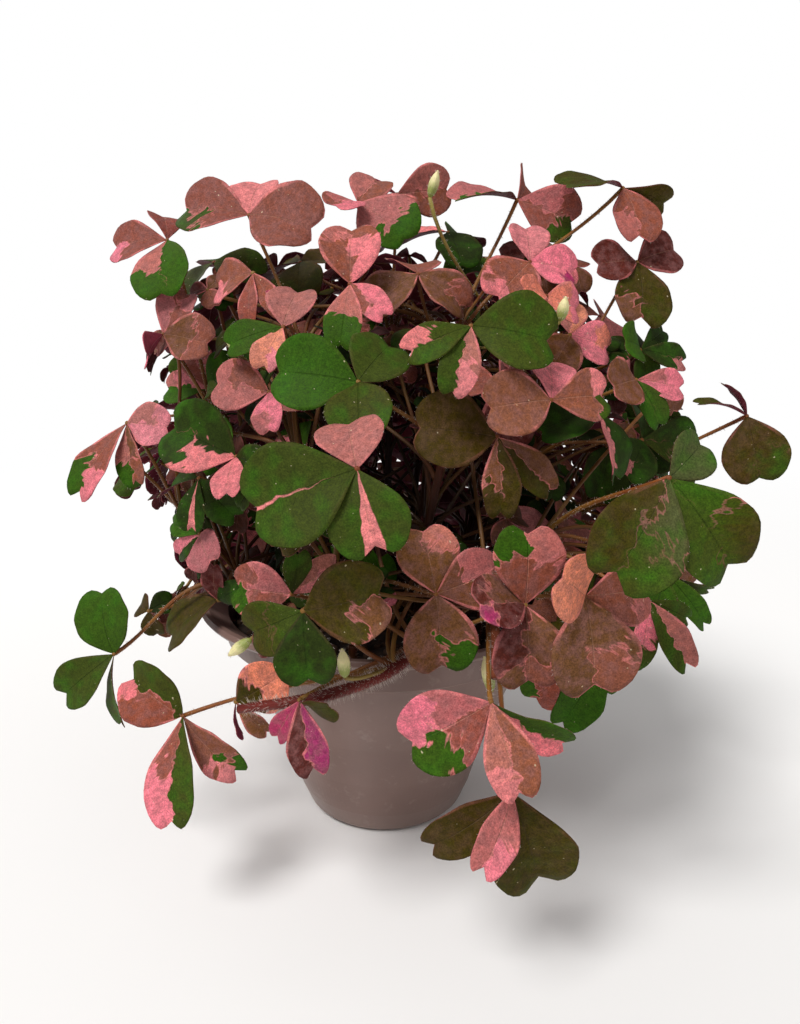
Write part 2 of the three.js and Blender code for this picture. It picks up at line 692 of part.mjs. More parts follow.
// A tube of square rings along a bud's stalk, swelling into the bud and closing at its tip.
function budSolid(bud) {
  const rings = [];
  for (let k = 0; k <= bud.petiole.steps; k += 1) {
    rings.push([petiolePoint(bud.petiole, k / bud.petiole.steps), PETIOLE_RADIUS]);
  }
  for (const [f, r] of [[0.25, BUD_RADIUS * 0.9], [0.6, BUD_RADIUS]]) {
    rings.push([add(bud.hub, mul(sub(bud.tip, bud.hub), f)), r]);
  }
  const positions = [];
  const triangles = [];
  let u = unit(cross(bud.normal, [1, 0, 0]));
  rings.forEach(([centre, r], k) => {
    const ahead = k + 1 < rings.length ? rings[k + 1][0] : bud.tip;
    const dir = unit(sub(ahead, centre));
    u = unit(sub(u, mul(dir, dot(u, dir))));
    const v = cross(dir, u);
    for (const [a, b] of [[1, 0], [0, 1], [-1, 0], [0, -1]]) {
      positions.push(blend([centre, 1], [u, a * r], [v, b * r]));
    }
    for (let i = 0; k > 0 && i < 4; i += 1) {
      const [low, high, next] = [(k - 1) * 4, k * 4, (i + 1) % 4];
      triangles.push([low + i, low + next, high + next], [low + i, high + next, high + i]);
    }
  });
  const top = (rings.length - 1) * 4;
  const apex = positions.push(bud.tip) - 1;
  for (let i = 0; i < 4; i += 1) triangles.push([top + i, top + (i + 1) % 4, apex]);
  triangles.push([0, 2, 1], [0, 3, 2]);
  return solidOf(positions, triangles);
}

function stemSolid(stem) {
  const section = new THREE.Shape();
  for (let i = 0; i < 5; i += 1) {
    const a = i * 2 * Math.PI / 5;
    const [x, y] = [stem.radius * Math.cos(a), stem.radius * Math.sin(a)];
    if (i === 0) section.moveTo(x, y);
    else section.lineTo(x, y);
  }
  section.closePath();
  const geometry = new THREE.ExtrudeGeometry(section, {
    steps: STEM_STEPS + (stem.points.length - 5) * 2,
    extrudePath: new StemLine(stem.points),
  });
  let solid = solidOfGeometry(geometry);
  for (const leaf of stem.leaves) solid = solid.add(leafSolid(leaf));
  for (const bud of stem.buds) solid = solid.add(budSolid(bud));
  return solid.simplify(SHORTEST_EDGE);
}

function lathe(profile, sides) {
  const geometry = new THREE.LatheGeometry(profile.map(([r, z]) => new THREE.Vector2(r, z)), sides);
  geometry.rotateX(Math.PI / 2);
  return geometry;
}

function upright(radius, sides, x, y, low, high) {
  const geometry = new THREE.CylinderGeometry(radius, radius, high - low, sides);
  geometry.rotateX(Math.PI / 2);
  geometry.translate(x, y, (low + high) / 2);
  return solidOfGeometry(geometry);
}

function potSolid() {
  let solid = solidOfGeometry(lathe([...POT_OUTSIDE, ...POT_INSIDE], POT_SIDES));
  for (let i = 0; i < DRAIN_HOLES; i += 1) {
    const [x, y] = polar(90 + i * 360 / DRAIN_HOLES, DRAIN_HOLE_CIRCLE, 0);
    solid = solid.subtract(upright(DRAIN_HOLE_RADIUS, 12, x, y, -1, 4));
  }
  return solid;
}

function soilSolid() {
  const bumps = seededRow(77);
  const rings = SOIL_RINGS.map((r) => [r, SOIL_TOP]);
  const geometry = lathe([...SOIL_SIDE, ...rings, [0, SOIL_TOP]], SOIL_SIDES);
  const plain = mergedOf(geometry);
  const at = plain.attributes.position;
  for (let i = 0; i < at.count; i += 1) {
    if (at.getZ(i) > SOIL_TOP - 0.05) at.setZ(i, SOIL_TOP + (bumps() - 0.5) * 2 * SOIL_BUMP);
  }
  let solid = solidOfGeometry(plain);
  for (const { foot: [x, y], radius } of stems) {
    const hole = radius + STEM_HOLE_GAP;
    const high = SOIL_TOP + 6;
    solid = solid.subtract(upright(hole, STEM_HOLE_SIDES, x, y, STEM_HOLE_BOTTOM, high));
  }
  return solid;
}

// The assembly.
function meshOf(name, solid, material) {
  const { vertProperties, triVerts, numProp } = solid.getMesh();
  const geometry = new THREE.BufferGeometry();
  const positions = new Float32Array(vertProperties.length / numProp * 3);
  for (let i = 0; i < positions.length / 3; i += 1) {
    for (let k = 0; k < 3; k += 1) positions[i * 3 + k] = vertProperties[i * numProp + k];
  }
  geometry.setAttribute('position', new THREE.BufferAttribute(positions, 3));
  geometry.setIndex(new THREE.BufferAttribute(new Uint32Array(triVerts), 1));
  geometry.computeVertexNormals();
  const mesh = new THREE.Mesh(geometry, material);
  mesh.name = name;
  return mesh;
}

const potPlastic = new THREE.MeshStandardMaterial({ color: 0xb9aaa6, roughness: 0.45, metalness: 0 });
const pottingMix = new THREE.MeshStandardMaterial({ color: 0x2c211b, roughness: 1, metalness: 0 });
const foliage = [0x4a6a30, 0x8a5a4c, 0x5b5a2a, 0xb96c68, 0x3f5f2c].map((color) => (
  new THREE.MeshStandardMaterial({ color, roughness: 0.65, metalness: 0 })));

const group = new THREE.Group();
group.add(meshOf('pot', potSolid(), potPlastic));
group.add(meshOf('potting_mix', soilSolid(), pottingMix));
stems.forEach((stem, i) => {
  const name = `stem_${String(i + 1).padStart(2, '0')}`;
  group.add(meshOf(name, stemSolid(stem), foliage[i % foliage.length]));
});

export { stems, missed };
export default group;
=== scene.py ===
"""Looks of a potted purple-leaved oxalis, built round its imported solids.

The plant is a mound of three-part leaves with heart shaped leaflets on thin hairy stalks, in a
tapered plastic pot. The growth is worked out in millimetres, by the same rules and the same seeded
row as the solids, so each fine leaf stands exactly where its solid does. Meshes are in metres.
"""

from __future__ import annotations

import logging
import math
from dataclasses import dataclass, field
from enum import Enum
from typing import Any

import bpy
import numpy as np
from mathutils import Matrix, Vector

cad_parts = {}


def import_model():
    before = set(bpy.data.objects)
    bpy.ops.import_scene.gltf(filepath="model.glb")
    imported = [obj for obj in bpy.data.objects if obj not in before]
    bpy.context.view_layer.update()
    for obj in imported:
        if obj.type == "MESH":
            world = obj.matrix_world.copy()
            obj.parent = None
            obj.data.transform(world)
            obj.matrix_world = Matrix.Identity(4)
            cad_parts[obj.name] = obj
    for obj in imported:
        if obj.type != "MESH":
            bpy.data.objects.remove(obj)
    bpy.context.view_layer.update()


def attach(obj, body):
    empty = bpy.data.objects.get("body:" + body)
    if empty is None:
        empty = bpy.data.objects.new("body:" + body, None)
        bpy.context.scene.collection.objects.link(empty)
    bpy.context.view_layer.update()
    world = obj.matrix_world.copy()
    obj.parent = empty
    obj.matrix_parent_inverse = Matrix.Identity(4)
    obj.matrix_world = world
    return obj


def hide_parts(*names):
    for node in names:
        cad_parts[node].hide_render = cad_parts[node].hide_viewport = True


LOG = logging.getLogger("oxalis")
MM = 0.001
UP = np.array([0.0, 0.0, 1.0])
WHITE = (1.0, 1.0, 1.0, 1.0)


class Kind(Enum):
    """What stands at a point of the mound, for the room kept round it."""

    BLADE = "blade"
    STALK = "stalk"
    STEM = "stem"


class Tone(Enum):
    """The colours of the leaves, by the letter that a leaf's looks are written with."""

    G = "34510e"
    E = "3b4513"
    D = "26330c"
    Y = "4b4e2c"
    O = "3d3406"
    P = "894d3b"
    B = "6c4529"
    Q = "b0665f"
    K = "e07a82"
    S = "e2856a"
    R = "55221c"
    M = "9a3058"


def linear(code: str) -> np.ndarray:
    """A display colour as the numbers that light works with.

    Args:
        code: Six hexadecimal digits.

    Returns:
        Red, green and blue, linear, with an alpha of one.
    """
    parts = np.array([int(code[i : i + 2], 16) / 255 for i in (0, 2, 4)])
    low = parts / 12.92
    high = ((parts + 0.055) / 1.055) ** 2.4
    return np.append(np.where(parts <= 0.04045, low, high), 1.0)


def length_of(vector: np.ndarray) -> float:
    """The vector's length."""
    return math.sqrt(float(vector @ vector))


def unit(vector: np.ndarray) -> np.ndarray:
    """The vector at a length of one.

    Args:
        vector: Three numbers.

    Returns:
        The same direction, of length one.
    """
    return vector / max(length_of(vector), 1e-9)


def turned(vector: np.ndarray, axis: np.ndarray, angle: float) -> np.ndarray:
    """A vector turned about an axis.

    Args:
        vector: The vector to turn.
        axis: The axis, of length one.
        angle: The turn in radians.

    Returns:
        The turned vector.
    """
    c = math.cos(angle)
    return vector * c + np.cross(axis, vector) * math.sin(angle) + axis * (axis @ vector) * (1 - c)


def across(normal: np.ndarray) -> np.ndarray:
    """A direction in the plane that a leaf lies in.

    Args:
        normal: The way that the leaf faces.

    Returns:
        The direction, of length one.
    """
    return unit(np.cross(normal, UP if abs(normal[2]) < 0.9 else np.array([1.0, 0.0, 0.0])))


def polar(degrees: float, radius: float, z: float) -> np.ndarray:
    """A point by its direction and distance from the pot's axis.

    Args:
        degrees: Direction, counted from +X.
        radius: Distance from the axis.
        z: Height.

    Returns:
        The point.
    """
    a = math.radians(degrees)
    return np.array([radius * math.cos(a), radius * math.sin(a), z])


@dataclass
class SeededRow:
    """A simple seeded row of numbers from 0 to 1."""

    state: int

    FACTOR, STEP, SIZE = 1664525, 1013904223, 4294967296

    def next(self) -> float:
        """The next number of the row."""
        self.state = (self.state * self.FACTOR + self.STEP) % self.SIZE
        return self.state / self.SIZE


@dataclass(frozen=True)
class PictureView:
    """The view of the plant that its leaves are placed by, in millimetres and picture pixels."""

    eye: tuple[float, float, float] = (4.9, -232.5, 152.4)
    pitch: float = math.radians(13.5)
    focal: float = 760.0
    middle: tuple[float, float] = (400.0, 512.0)

    def line(self, px: float, py: float) -> np.ndarray:
        """The sight line through a pixel.

        Args:
            px: Pixels from the left.
            py: Pixels from the top.

        Returns:
            A direction whose length is one along the view's axis.
        """
        across = (px - self.middle[0]) / self.focal
        up = (self.middle[1] - py) / self.focal
        c, s = math.cos(self.pitch), math.sin(self.pitch)
        return np.array([across, c + up * s, up * c - s])

    def at_depth(self, px: float, py: float, y: float) -> np.ndarray:
        """The point of a sight line at a depth.

        Args:
            px: Pixels from the left.
            py: Pixels from the top.
            y: Depth, on the Y axis.

        Returns:
            The point.
        """
        line = self.line(px, py)
        reach = (y - self.eye[1]) / line[1]
        return np.array([self.eye[0] + reach * line[0], y, self.eye[2] + reach * line[2]])

    def seen_at(self, points: np.ndarray) -> np.ndarray:
        """Where points show.

        Args:
            points: One row of three numbers for each point.

        Returns:
            One row of two pixel places for each point.
        """
        v = np.atleast_2d(points) - np.array(self.eye)
        c, s = math.cos(self.pitch), math.sin(self.pitch)
        ahead = v[:, 1] * c - v[:, 2] * s
        up = v[:, 1] * s + v[:, 2] * c
        x = self.middle[0] + self.focal * v[:, 0] / ahead
        return np.stack([x, self.middle[1] - self.focal * up / ahead], axis=1)


VIEW = PictureView()

HALF_OUTLINE = ((0.0, 0.03), (0.22, 0.17), (0.54, 0.41), (0.84, 0.48), (1.0, 0.28))
SAMPLE_STEP = 2.1
MOUND_Z, MOUND_WIDE, MOUND_HIGH, MOUND_LOW = 92.0, 92.0, 84.0, 44.0
BARE = ((0, 190, 500, 1024), (690, 800, 590, 1024), (0, 800, 690, 1024))
DEPTH_SHIFTS = (0, 2, -2, 4, -4, 6, -6, 9, -9, 12, -12, 15, 18, 21, 25, 30, 36, 44, 52)
LEAF_THICKNESS = 0.7
CLOSE_POINTS = 72
STEM_FOOT, STEM_STRAIGHT, STEM_KNEE = 55.3, 66.4, 69
STEM_RADIUS, STEM_POINTS = 1.25, 60
MIDDLE_LEFT, MIDDLE_RIGHT, MIDDLE_TOP, MIDDLE_BOTTOM = 150, 690, 270, 640

# How much a leaf faces outwards, upwards and to the light at the front.
FACING_SEEN, FACING_BETWEEN, FACING_ROUND = (0.45, 0.3, 1), (0.5, 0.6, 0.6), (0.8, 0.7, 0)
FACING_GAP, FACING_BACK_GAP, FACING_INSIDE = (0.3, 0.5, 0.8), (0.9, 0.5, 0.0), (0.6, 0.7, 0.35)

# Where a leaf's stalk may start, counted as a share of its stem.
STALK_PLACES = (0.6, 0.68, 0.76, 0.83, 0.9, 0.97)

# Room kept between two blades, a blade and a stalk, two stalks, and round a main stem, in
# millimetres: among the leaves seen, among those of the sides and the back, and inside.
ROOM_SEEN = {"blade": 2.3, "mixed": 2.1, "stalk": 1.9, "stem": 2.7}
ROOM_ROUND = {"blade": 1.95, "mixed": 1.8, "stalk": 1.75, "stem": 2.35}
ROOM_INSIDE = {"blade": 1.1, "mixed": 0.95, "stalk": 1.0, "stem": 1.6}
ROOM_WIDEST = 2.7

# Room kept from the floor and from the pot's lip and its mouth.
OFF_FLOOR, LIP_RADIUS, LIP_TOP, MOUTH_RADIUS, MOUTH_BOTTOM = 4, 60.5, 74, 46, 67
ROUND_LEAVES, ROUND_TRIES = 46, 2500
STALK_SHORTEST, STALK_USUAL, STALK_LONGEST = 10, 32, 88

# The passes that add leaves inside: the most leaves, the most tries, the share of the tries that
# start from a gap in the view, and how many of the nine half cells about a gap are open.
INSIDE_PASSES = ((280, 22000, 0.95, 3), (60, 6000, 0.85, 1), (40, 4000, 0.0, 1))

# Foot direction in degrees, foot radius, top direction, top radius, top height.
UPRIGHT_STEMS = (
    (85, 9, 85, 20, 152), (205, 11, 205, 26, 150), (325, 11, 322, 26, 152),
    (20, 26, 18, 52, 130), (72, 26, 72, 50, 132), (128, 26, 130, 52, 130), (183, 26, 185, 52, 128),
    (238, 26, 240, 44, 122), (292, 26, 292, 44, 124), (345, 26, 345, 52, 128),
    (2, 41, 2, 64, 98), (50, 40, 50, 66, 96), (98, 40, 98, 66, 96), (152, 40, 152, 66, 96),
    (197, 41, 195, 62, 100), (258, 39, 258, 54, 98), (322, 40, 318, 58, 100),
)  # fmt: skip

# Foot, points passed after the soil, radius, and the picture places of the leaves borne.
TRAILING_STEMS = (
    ((-35, -16), ((-42, -24, 80), (-48, -31, 84)), 1.25, ((114, 654), (218, 600))),
    (
        (16, -34),
        ((14, -52, 82), (5, -64, 74.5), (-12, -67, 68), (-35, -61, 61)),
        1.6,
        ((183, 716), (236, 702), (300, 700), (345, 676)),
    ),
    (
        (27, -28),
        ((27, -50, 84), (27, -68, 84), (26, -77, 77)),
        1.25,
        ((491, 702), (512, 792), (491, 690)),
    ),
)

# The leaves that are seen: picture place of the point where the leaflets meet, depth, leaflet
# size, where each leaflet points, with a roll in degrees and how far its end comes forward, and
# the looks of the three leaflets: tones of the base's left and right and of the tip's left and
# right, looking from base to tip, or one tone for all four, then w or n for a wide or narrow rosy
# stripe along the midrib.
SEEN_LEAVES = (
    (623, 188, 0, 18, (560, 187, 38), (640, 244), (668, 204, 68), "O PPPQ O"),
    (517, 200, 2, 19, (450, 202, 36), (577, 226, 25), (524, 184, 40), "GQGQ QPPE P"),
    (114, 654, -36, 17, (102, 588), (62, 698), (124, 726, 35), "G E GEGE"),
    (218, 600, -36, 16, (214, 562), (168, 642, 45), (244, 586), "R O D"),
    (249, 215, 0, 20, (182, 212), (320, 232), (262, 183), "PPEP P K"),
    (253, 273, -14, 19, (216, 291), (249, 328), (283, 318), "PPKP P PPMP"),
    (167, 240, -5, 18, (112, 250), (162, 300), (162, 216, 50), "PPKP GQGG P"),
    (163, 334, -12, 18, (190, 291), (214, 346), (148, 360, 60), "QPPQ BBPP K"),
    (358, 382, -52, 21, (273, 372), (392, 344), (360, 440), "G E E"),
    (350, 284, -30, 20, (352, 227), (340, 352), (388, 320), "PKQP QQGG KPKK"),
    (358, 203, 8, 18, (408, 244), (333, 208), (380, 180), "QQGG KQKP QPQP"),
    (397, 194, 18, 18, (451, 189, 45), (358, 191, 50), (396, 226), "QPQP KQKQ P"),
    (283, 327, -32, 18, (225, 348), (262, 373), (300, 290), "G SSKS Q"),
    (269, 392, -38, 18, (214, 384), (270, 435), (310, 402), "QPQQ KKKQ P"),
    (209, 388, -20, 17, (165, 390), (196, 348), (234, 360), "GKGQ PQPG G"),
    (127, 423, -22, 20, (76, 500), (138, 488), (171, 428), "PPKG BQPG QKKK"),
    (236, 457, -50, 18, (168, 425), (226, 500), (271, 468), "KDDD K D"),
    (199, 478, -36, 18, (192, 533), (240, 520), (168, 492, 50), "DDDDw D D"),
    (200, 534, -30, 16, (178, 556), (214, 566), (172, 522), "DKDK Q G"),
    (357, 469, -74, 20, (348, 422), (248, 512), (378, 558), "Q EEEEn EEEEw"),
    (303, 611, -76, 19, (390, 592), (310, 686), (249, 634), "OOOB D EEOO"),
    (292, 594, -60, 17, (232, 586), (298, 548, 30), (340, 560), "PQGP E QKQQ"),
    (471, 326, -46, 20, (402, 356), (450, 398), (556, 344), "EEEK QEKE E"),
    (551, 400, -52, 19, (482, 410), (547, 361), (608, 396), "P K PPKE"),
    (497, 437, -44, 20, (413, 428), (500, 520), (552, 494), "O OBOO BOBO"),
    (570, 335, -22, 17, (610, 352), (560, 300), (548, 372), "KKSK QSQS B"),
    (637, 262, -4, 19, (640, 328), (592, 266), (676, 250), "OOOB R R"),
    (530, 262, -18, 16, (493, 302), (576, 276), (524, 226), "PPKK KKKM K"),
    (546, 296, -30, 15, (530, 332), (578, 312), (520, 288), "S SSKK S"),
    (636, 380, -28, 18, (684, 390), (660, 428), (608, 388), "QKKK EGEG B"),
    (640, 350, -10, 16, (686, 364), (622, 340), (664, 330), "DDDQ G D"),
    (747, 416, -18, 17, (694, 404, 55), (760, 483, 40), (722, 384, 65), "O OOEO O"),
    (669, 478, -80, 22, (606, 586), (732, 574), (702, 442, 0, 8), "YOEO GEOE Y"),
    (585, 596, -76, 20, (648, 588), (594, 696), (556, 574), "PPPQ BBPB S"),
    (525, 605, -66, 19, (527, 524), (528, 689), (474, 606, 40), "PPGQ BRPB RBMR"),
    (436, 594, -68, 18, (422, 526), (500, 568), (442, 673), "BBBQ BBQB BBGB"),
    (491, 702, -84, 20, (404, 745), (522, 802, 0, 9), (570, 745, 30), "PQGK PQPK GKGK"),
    (512, 792, -84, 20, (426, 848, 0, -3), (478, 878, 0, 14), (541, 885, 0, -3), "O QQKQ O"),
    (183, 716, -46, 18, (128, 672), (243, 776), (172, 830), "PEKE PPGK EPEK"),
    (236, 702, -56, 15, (284, 674), (270, 734), (244, 736, 65), "OOSS B R"),
    (300, 700, -66, 15, (276, 740, 25), (316, 778), (334, 706, 40), "M MRMR O"),
    (664, 572, -44, 19, (706, 628), (640, 640), (712, 590, 50), "G G E"),
    (604, 646, -58, 18, (558, 728), (606, 696), (648, 640), "G GEGG E"),
    (642, 440, -20, 18, (624, 478), (696, 446), (640, 410), "DDDQ DEDD D"),
    (648, 600, -60, 16, (690, 672), (636, 668), (690, 620), "QEQE KKEE E"),
)  # fmt: skip

# Picture place of a bud's foot, depth, and picture place of its tip.
BUDS = (
    (491, 690, -80, 484, 656), (345, 676, -71, 342, 648), (250, 640, -58, 228, 656),
    (560, 320, -34, 566, 296), (236, 352, -32, 228, 330), (430, 196, 0, 438, 170),
)  # fmt: skip

# Leaves between them, seen in part: picture place, depth, size and turn in degrees.
LEAVES_BETWEEN = (
    (232, 372, -30, 16, 40), (196, 432, -12, 17, 10), (312, 420, -34, 17, 70),
    (330, 318, -14, 17, 50), (418, 274, -18, 17, 30), (448, 232, 0, 17, 80),
    (606, 446, -34, 18, 60), (560, 540, -50, 18, 95), (612, 520, -44, 18, 35),
    (600, 316, 2, 17, 75), (486, 258, 4, 17, 20), (214, 262, 0, 17, 65),
    (300, 262, 4, 18, 110), (500, 388, -24, 17, 90), (352, 540, -46, 18, 0),
    (660, 430, -4, 18, 105), (270, 500, -30, 17, 85), (570, 650, -40, 17, 50),
    (690, 520, -28, 18, 10),
)  # fmt: skip

# Looks that the other leaves take in turn.
COMMON_LOOKS = (
    "G GEGE E", "PPPG PPGP P", "D DDED D", "QQPP PQPP P", "O OOBB O", "EQEE G GGGK", "B BBPB P",
    "PPEE PQPG Q", "E GEGG D", "R RRPR P", "GGQK GEGE G", "DKDD D D", "PPPQ P QKPP", "Y E E",
)  # fmt: skip
# Looks of the leaves inside the mound: mostly the darkest tones, a painted shade of the mound's
# inside on top of the leaves' own colours.
HIDDEN_LOOKS = ("D D E", "E D D", "O D O", "P B P", "R P B", "D DDKD D", "B P R", "E E D")


@dataclass
class Petiole:
    """A leaf's stalk, a curve from its stem to the leaf."""

    start: np.ndarray
    a: np.ndarray
    b: np.ndarray
    end: np.ndarray
    length: float

    def at(self, t: np.ndarray) -> np.ndarray:
        """Points of the curve.

        Args:
            t: Shares of the way, from 0 to 1.

        Returns:
            One row of three numbers for each share.
        """
        t = np.atleast_1d(t)[:, None]
        q = 1 - t
        return (
            self.start * (q * q * q)
            + self.a * (3 * q * q * t)
            + self.b * (3 * q * t * t)
            + self.end * (t * t * t)
        )

    def samples(self) -> np.ndarray:
        """Points of the stalk that other pieces keep clear of."""
        count = math.ceil(self.length / SAMPLE_STEP) + 1
        shares = [
            i / count
            for i in range(1, count)
            if i / count * self.length > 4 and (1 - i / count) * self.length > 1
        ]
        return self.at(np.array(shares)) if shares else np.zeros((0, 3))


@dataclass
class Leaflet:
    """One heart shaped blade, from the point where the leaflets meet."""

    hub: np.ndarray
    d: np.ndarray
    n: np.ndarray
    side: np.ndarray
    length: float
    width: float
    fold: float
    slope: float = 1.0
    looks: str = "G"

    def points(self, s: np.ndarray, w: np.ndarray) -> np.ndarray:
        """Points of the blade's middle plane, as the solid has them.

        Args:
            s: Shares of the length.
            w: Shares of the length sideways.

        Returns:
            One row of three numbers for each pair.
        """
        rise = self.fold * np.abs(w) * self.width + 0.32 * s * (1 - s)
        return self._at(s, w, rise, np.zeros_like(s))

    def fine(self, s: np.ndarray, w: np.ndarray, lift: np.ndarray, seed: float) -> np.ndarray:
        """Points of the blade with a soft fold and a slightly waved margin.

        Near its base the blade is turned a little, so that it passes over the next one.

        Args:
            s: Shares of the length.
            w: Shares of the length sideways.
            lift: Heights above the middle plane, in millimetres.
            seed: A number from 0 to 1 that sets the waves.

        Returns:
            One row of three numbers for each point.
        """
        places = [LeafletForm.CORNER * u for u, _ in LeafletForm.HALF]
        half = np.interp(s, places, [h for _, h in LeafletForm.HALF])
        free = self.slope * s / (self.width * half)
        w = w * free / (1 + free**6) ** (1 / 6)
        s = s * (1 - 0.1 * ((seed * 7) % 1) * np.exp(-((w / 0.14) ** 2)) * s**4)
        soft = np.sqrt(w * w + 0.0025) - 0.05
        reach = (np.abs(w) / 0.48) ** 2
        wave = 0.014 * np.sin(9 * s + 40 * seed) + 0.012 * np.sin(17 * s + 3 * w + 90 * seed)
        fold = 0.22 + (self.fold - 0.22) * np.sqrt(s)
        rise = fold * soft * self.width + 0.32 * s * (1 - s) + 0.22 * w * (1 - s) ** 2
        return self._at(s, w, rise + wave * reach, lift)

    def _at(self, s: np.ndarray, w: np.ndarray, rise: np.ndarray, lift: np.ndarray) -> np.ndarray:
        """Points by their shares and their height in shares and in millimetres."""
        along = (s * self.length)[:, None] * self.d
        across = (w * self.width * self.length)[:, None] * self.side
        return self.hub + along + across + (rise * self.length + lift)[:, None] * self.n


@dataclass
class Leaf:
    """Three leaflets and their stalk."""

    hub: np.ndarray
    normal: np.ndarray
    leaflets: list[Leaflet]
    t: float = 0.0
    petiole: Petiole | None = None
    fine: bool = True
    shade: float = 1.0

    def samples(self) -> np.ndarray:
        """Points of the blades that other pieces keep clear of."""
        rows_of = []
        places = [p[0] for p in HALF_OUTLINE]
        halves = [p[1] for p in HALF_OUTLINE]
        for leaflet in self.leaflets:
            rows = math.ceil(leaflet.length * 0.86 / SAMPLE_STEP)
            for i in range(rows + 1):
                s = 0.16 + 0.86 * i / rows
                half = float(np.interp(s, places, halves))
                across = math.ceil(2 * half * leaflet.width * leaflet.length / SAMPLE_STEP)
                w = half * (2 * np.arange(across + 1) / max(across, 1) - 1)
                rows_of.append(leaflet.points(np.full(across + 1, s), w))
        return np.concatenate(rows_of)

    def close_points(self, count: int) -> np.ndarray:
        """Points of the blades, close together.

        Args:
            count: How many along and across each leaflet.

        Returns:
            The points, leaflet by leaflet.
        """
        s, v = np.meshgrid(np.linspace(0.06, 0.98, count), np.linspace(-1, 1, count))
        s, v = s.ravel(), v.ravel()
        w = v * np.interp(s, [p[0] for p in HALF_OUTLINE], [p[1] for p in HALF_OUTLINE])
        return np.concatenate([leaflet.points(s, w) for leaflet in self.leaflets])


@dataclass
class Bud:
    """A flower bud on a stalk of its own."""

    hub: np.ndarray
    tip: np.ndarray
    normal: np.ndarray
    petiole: Petiole


@dataclass
class Stem:
    """A main stem: a smooth line through points, and what grows from it."""

    foot: tuple[float, float]
    radius: float
    bears: tuple[tuple[int, int], ...]
    points: np.ndarray
    leaves: list[Leaf] = field(default_factory=list)
    buds: list[Bud] = field(default_factory=list)

    def at(self, t: float) -> np.ndarray:
        """A point of the stem.

        Args:
            t: Share of the way, from 0 to 1.

        Returns:
            The point.
        """
        points = self.points
        last = len(points) - 1
        place = min(max(t, 0.0), 1.0) * last
        i = min(int(place), last - 1)
        f = place - i
        p1, p2 = points[i], points[i + 1]
        p0 = points[i - 1] if i > 0 else p1 * 2 - p2
        p3 = points[i + 2] if i + 2 <= last else p2 * 2 - p1
        a, b = 2 * p1, p2 - p0
        c = 2 * p0 - 5 * p1 + 4 * p2 - p3
        d = 3 * p1 - p0 - 3 * p2 + p3
        return 0.5 * (a + (b + (c + d * f) * f) * f)

    def stalk_to(self, hub: np.ndarray, normal: np.ndarray, t: float) -> Petiole:
        """The stalk from a place on the stem to a leaf.

        Args:
            hub: Where the leaflets meet.
            normal: The way that the leaf faces.
            t: Place on the stem.

        Returns:
            The stalk.
        """
        start = self.at(t)
        ahead = unit(self.at(min(t + 0.02, 1)) - self.at(min(t + 0.02, 1) - 0.04))
        end = hub - normal * (LEAF_THICKNESS / 2)
        span = end - start
        length = length_of(span)
        straight = unit(span)
        leave = unit(ahead * 0.5 + straight * 0.6 + UP * 0.25)
        arrive = unit(normal * 0.45 + straight * 0.8)
        a, b = start + leave * (length * 0.34), end - arrive * (length * 0.34)
        return Petiole(start, a, b, end, length)


@dataclass
class Room:
    """The points that pieces fill, and the room kept between them."""

    gaps: dict[str, float]
    blocks: list[tuple[np.ndarray, Kind, int]] = field(default_factory=list)
    lows: np.ndarray = field(default_factory=lambda: np.zeros((4000, 3)))
    highs: np.ndarray = field(default_factory=lambda: np.zeros((4000, 3)))
    taken: np.ndarray = field(default_factory=lambda: np.zeros((280, 280, 230), bool))

    @staticmethod
    def cells(points: np.ndarray) -> tuple[np.ndarray, ...]:
        """The one-millimetre cells that points are in."""
        at = np.floor(np.atleast_2d(points) + np.array([140.0, 140.0, 5.0])).astype(int)
        return tuple(at.clip(1, [278, 278, 228]).T)

    def crowded(self, point: np.ndarray) -> bool:
        """Whether something stands within a cell or two of a point."""
        i, j, k = (int(x[0]) for x in self.cells(point))
        return bool(self.taken[i - 1 : i + 2, j - 1 : j + 2, k - 1 : k + 2].any())

    def gap(self, kind: Kind, other: Kind) -> float:
        """The room between two kinds of piece, in millimetres."""
        if Kind.STEM in (kind, other):
            return self.gaps["stem"]
        return self.gaps["mixed"] if kind is not other else self.gaps[kind.value]

    def put(self, points: np.ndarray, kind: Kind, owner: int) -> None:
        """Fills points.

        Args:
            points: One row of three numbers for each point.
            kind: What stands there.
            owner: Number of the stem that it belongs to.
        """
        if len(points):
            self.lows[len(self.blocks)] = points.min(axis=0)
            self.highs[len(self.blocks)] = points.max(axis=0)
            self.blocks.append((points, kind, owner))
            self.taken[self.cells(points)] = True

    @staticmethod
    def clear_of_pot(points: np.ndarray) -> bool:
        """Whether points are off the floor and outside, above or well inside the pot's lip."""
        r, z = np.hypot(points[:, 0], points[:, 1]), points[:, 2]
        in_mouth = (r < MOUTH_RADIUS) & (z > MOUTH_BOTTOM)
        return bool(((z >= OFF_FLOOR) & ((r > LIP_RADIUS) | (z > LIP_TOP) | in_mouth)).all())

    def free(self, points: np.ndarray, kind: Kind, owner: int = -1) -> bool:
        """Whether points are free and clear of the pot.

        Args:
            points: One row of three numbers for each point.
            kind: What would stand there.
            owner: Number of the stem whose own stalks may come near.

        Returns:
            True if nothing is in the way.
        """
        if not len(points):
            return True
        if not self.clear_of_pot(points):
            return False
        if kind is Kind.BLADE and self.taken[self.cells(points)].any():
            return False
        count, low, high = len(self.blocks), points.min(axis=0), points.max(axis=0)
        near = (self.lows[:count] < high + ROOM_WIDEST) & (self.highs[:count] > low - ROOM_WIDEST)
        for i in np.nonzero(near.all(axis=1))[0]:
            block, other, whose = self.blocks[i]
            if owner == whose and owner >= 0 and kind is Kind.STALK and other is not Kind.BLADE:
                continue
            gap = self.gap(kind, other)
            block = block[((block > low - gap) & (block < high + gap)).all(axis=1)]
            if len(block):
                apart = ((points[:, None] - block[None]) ** 2).sum(axis=2)
                if (apart < gap * gap).any():
                    return False
        return True


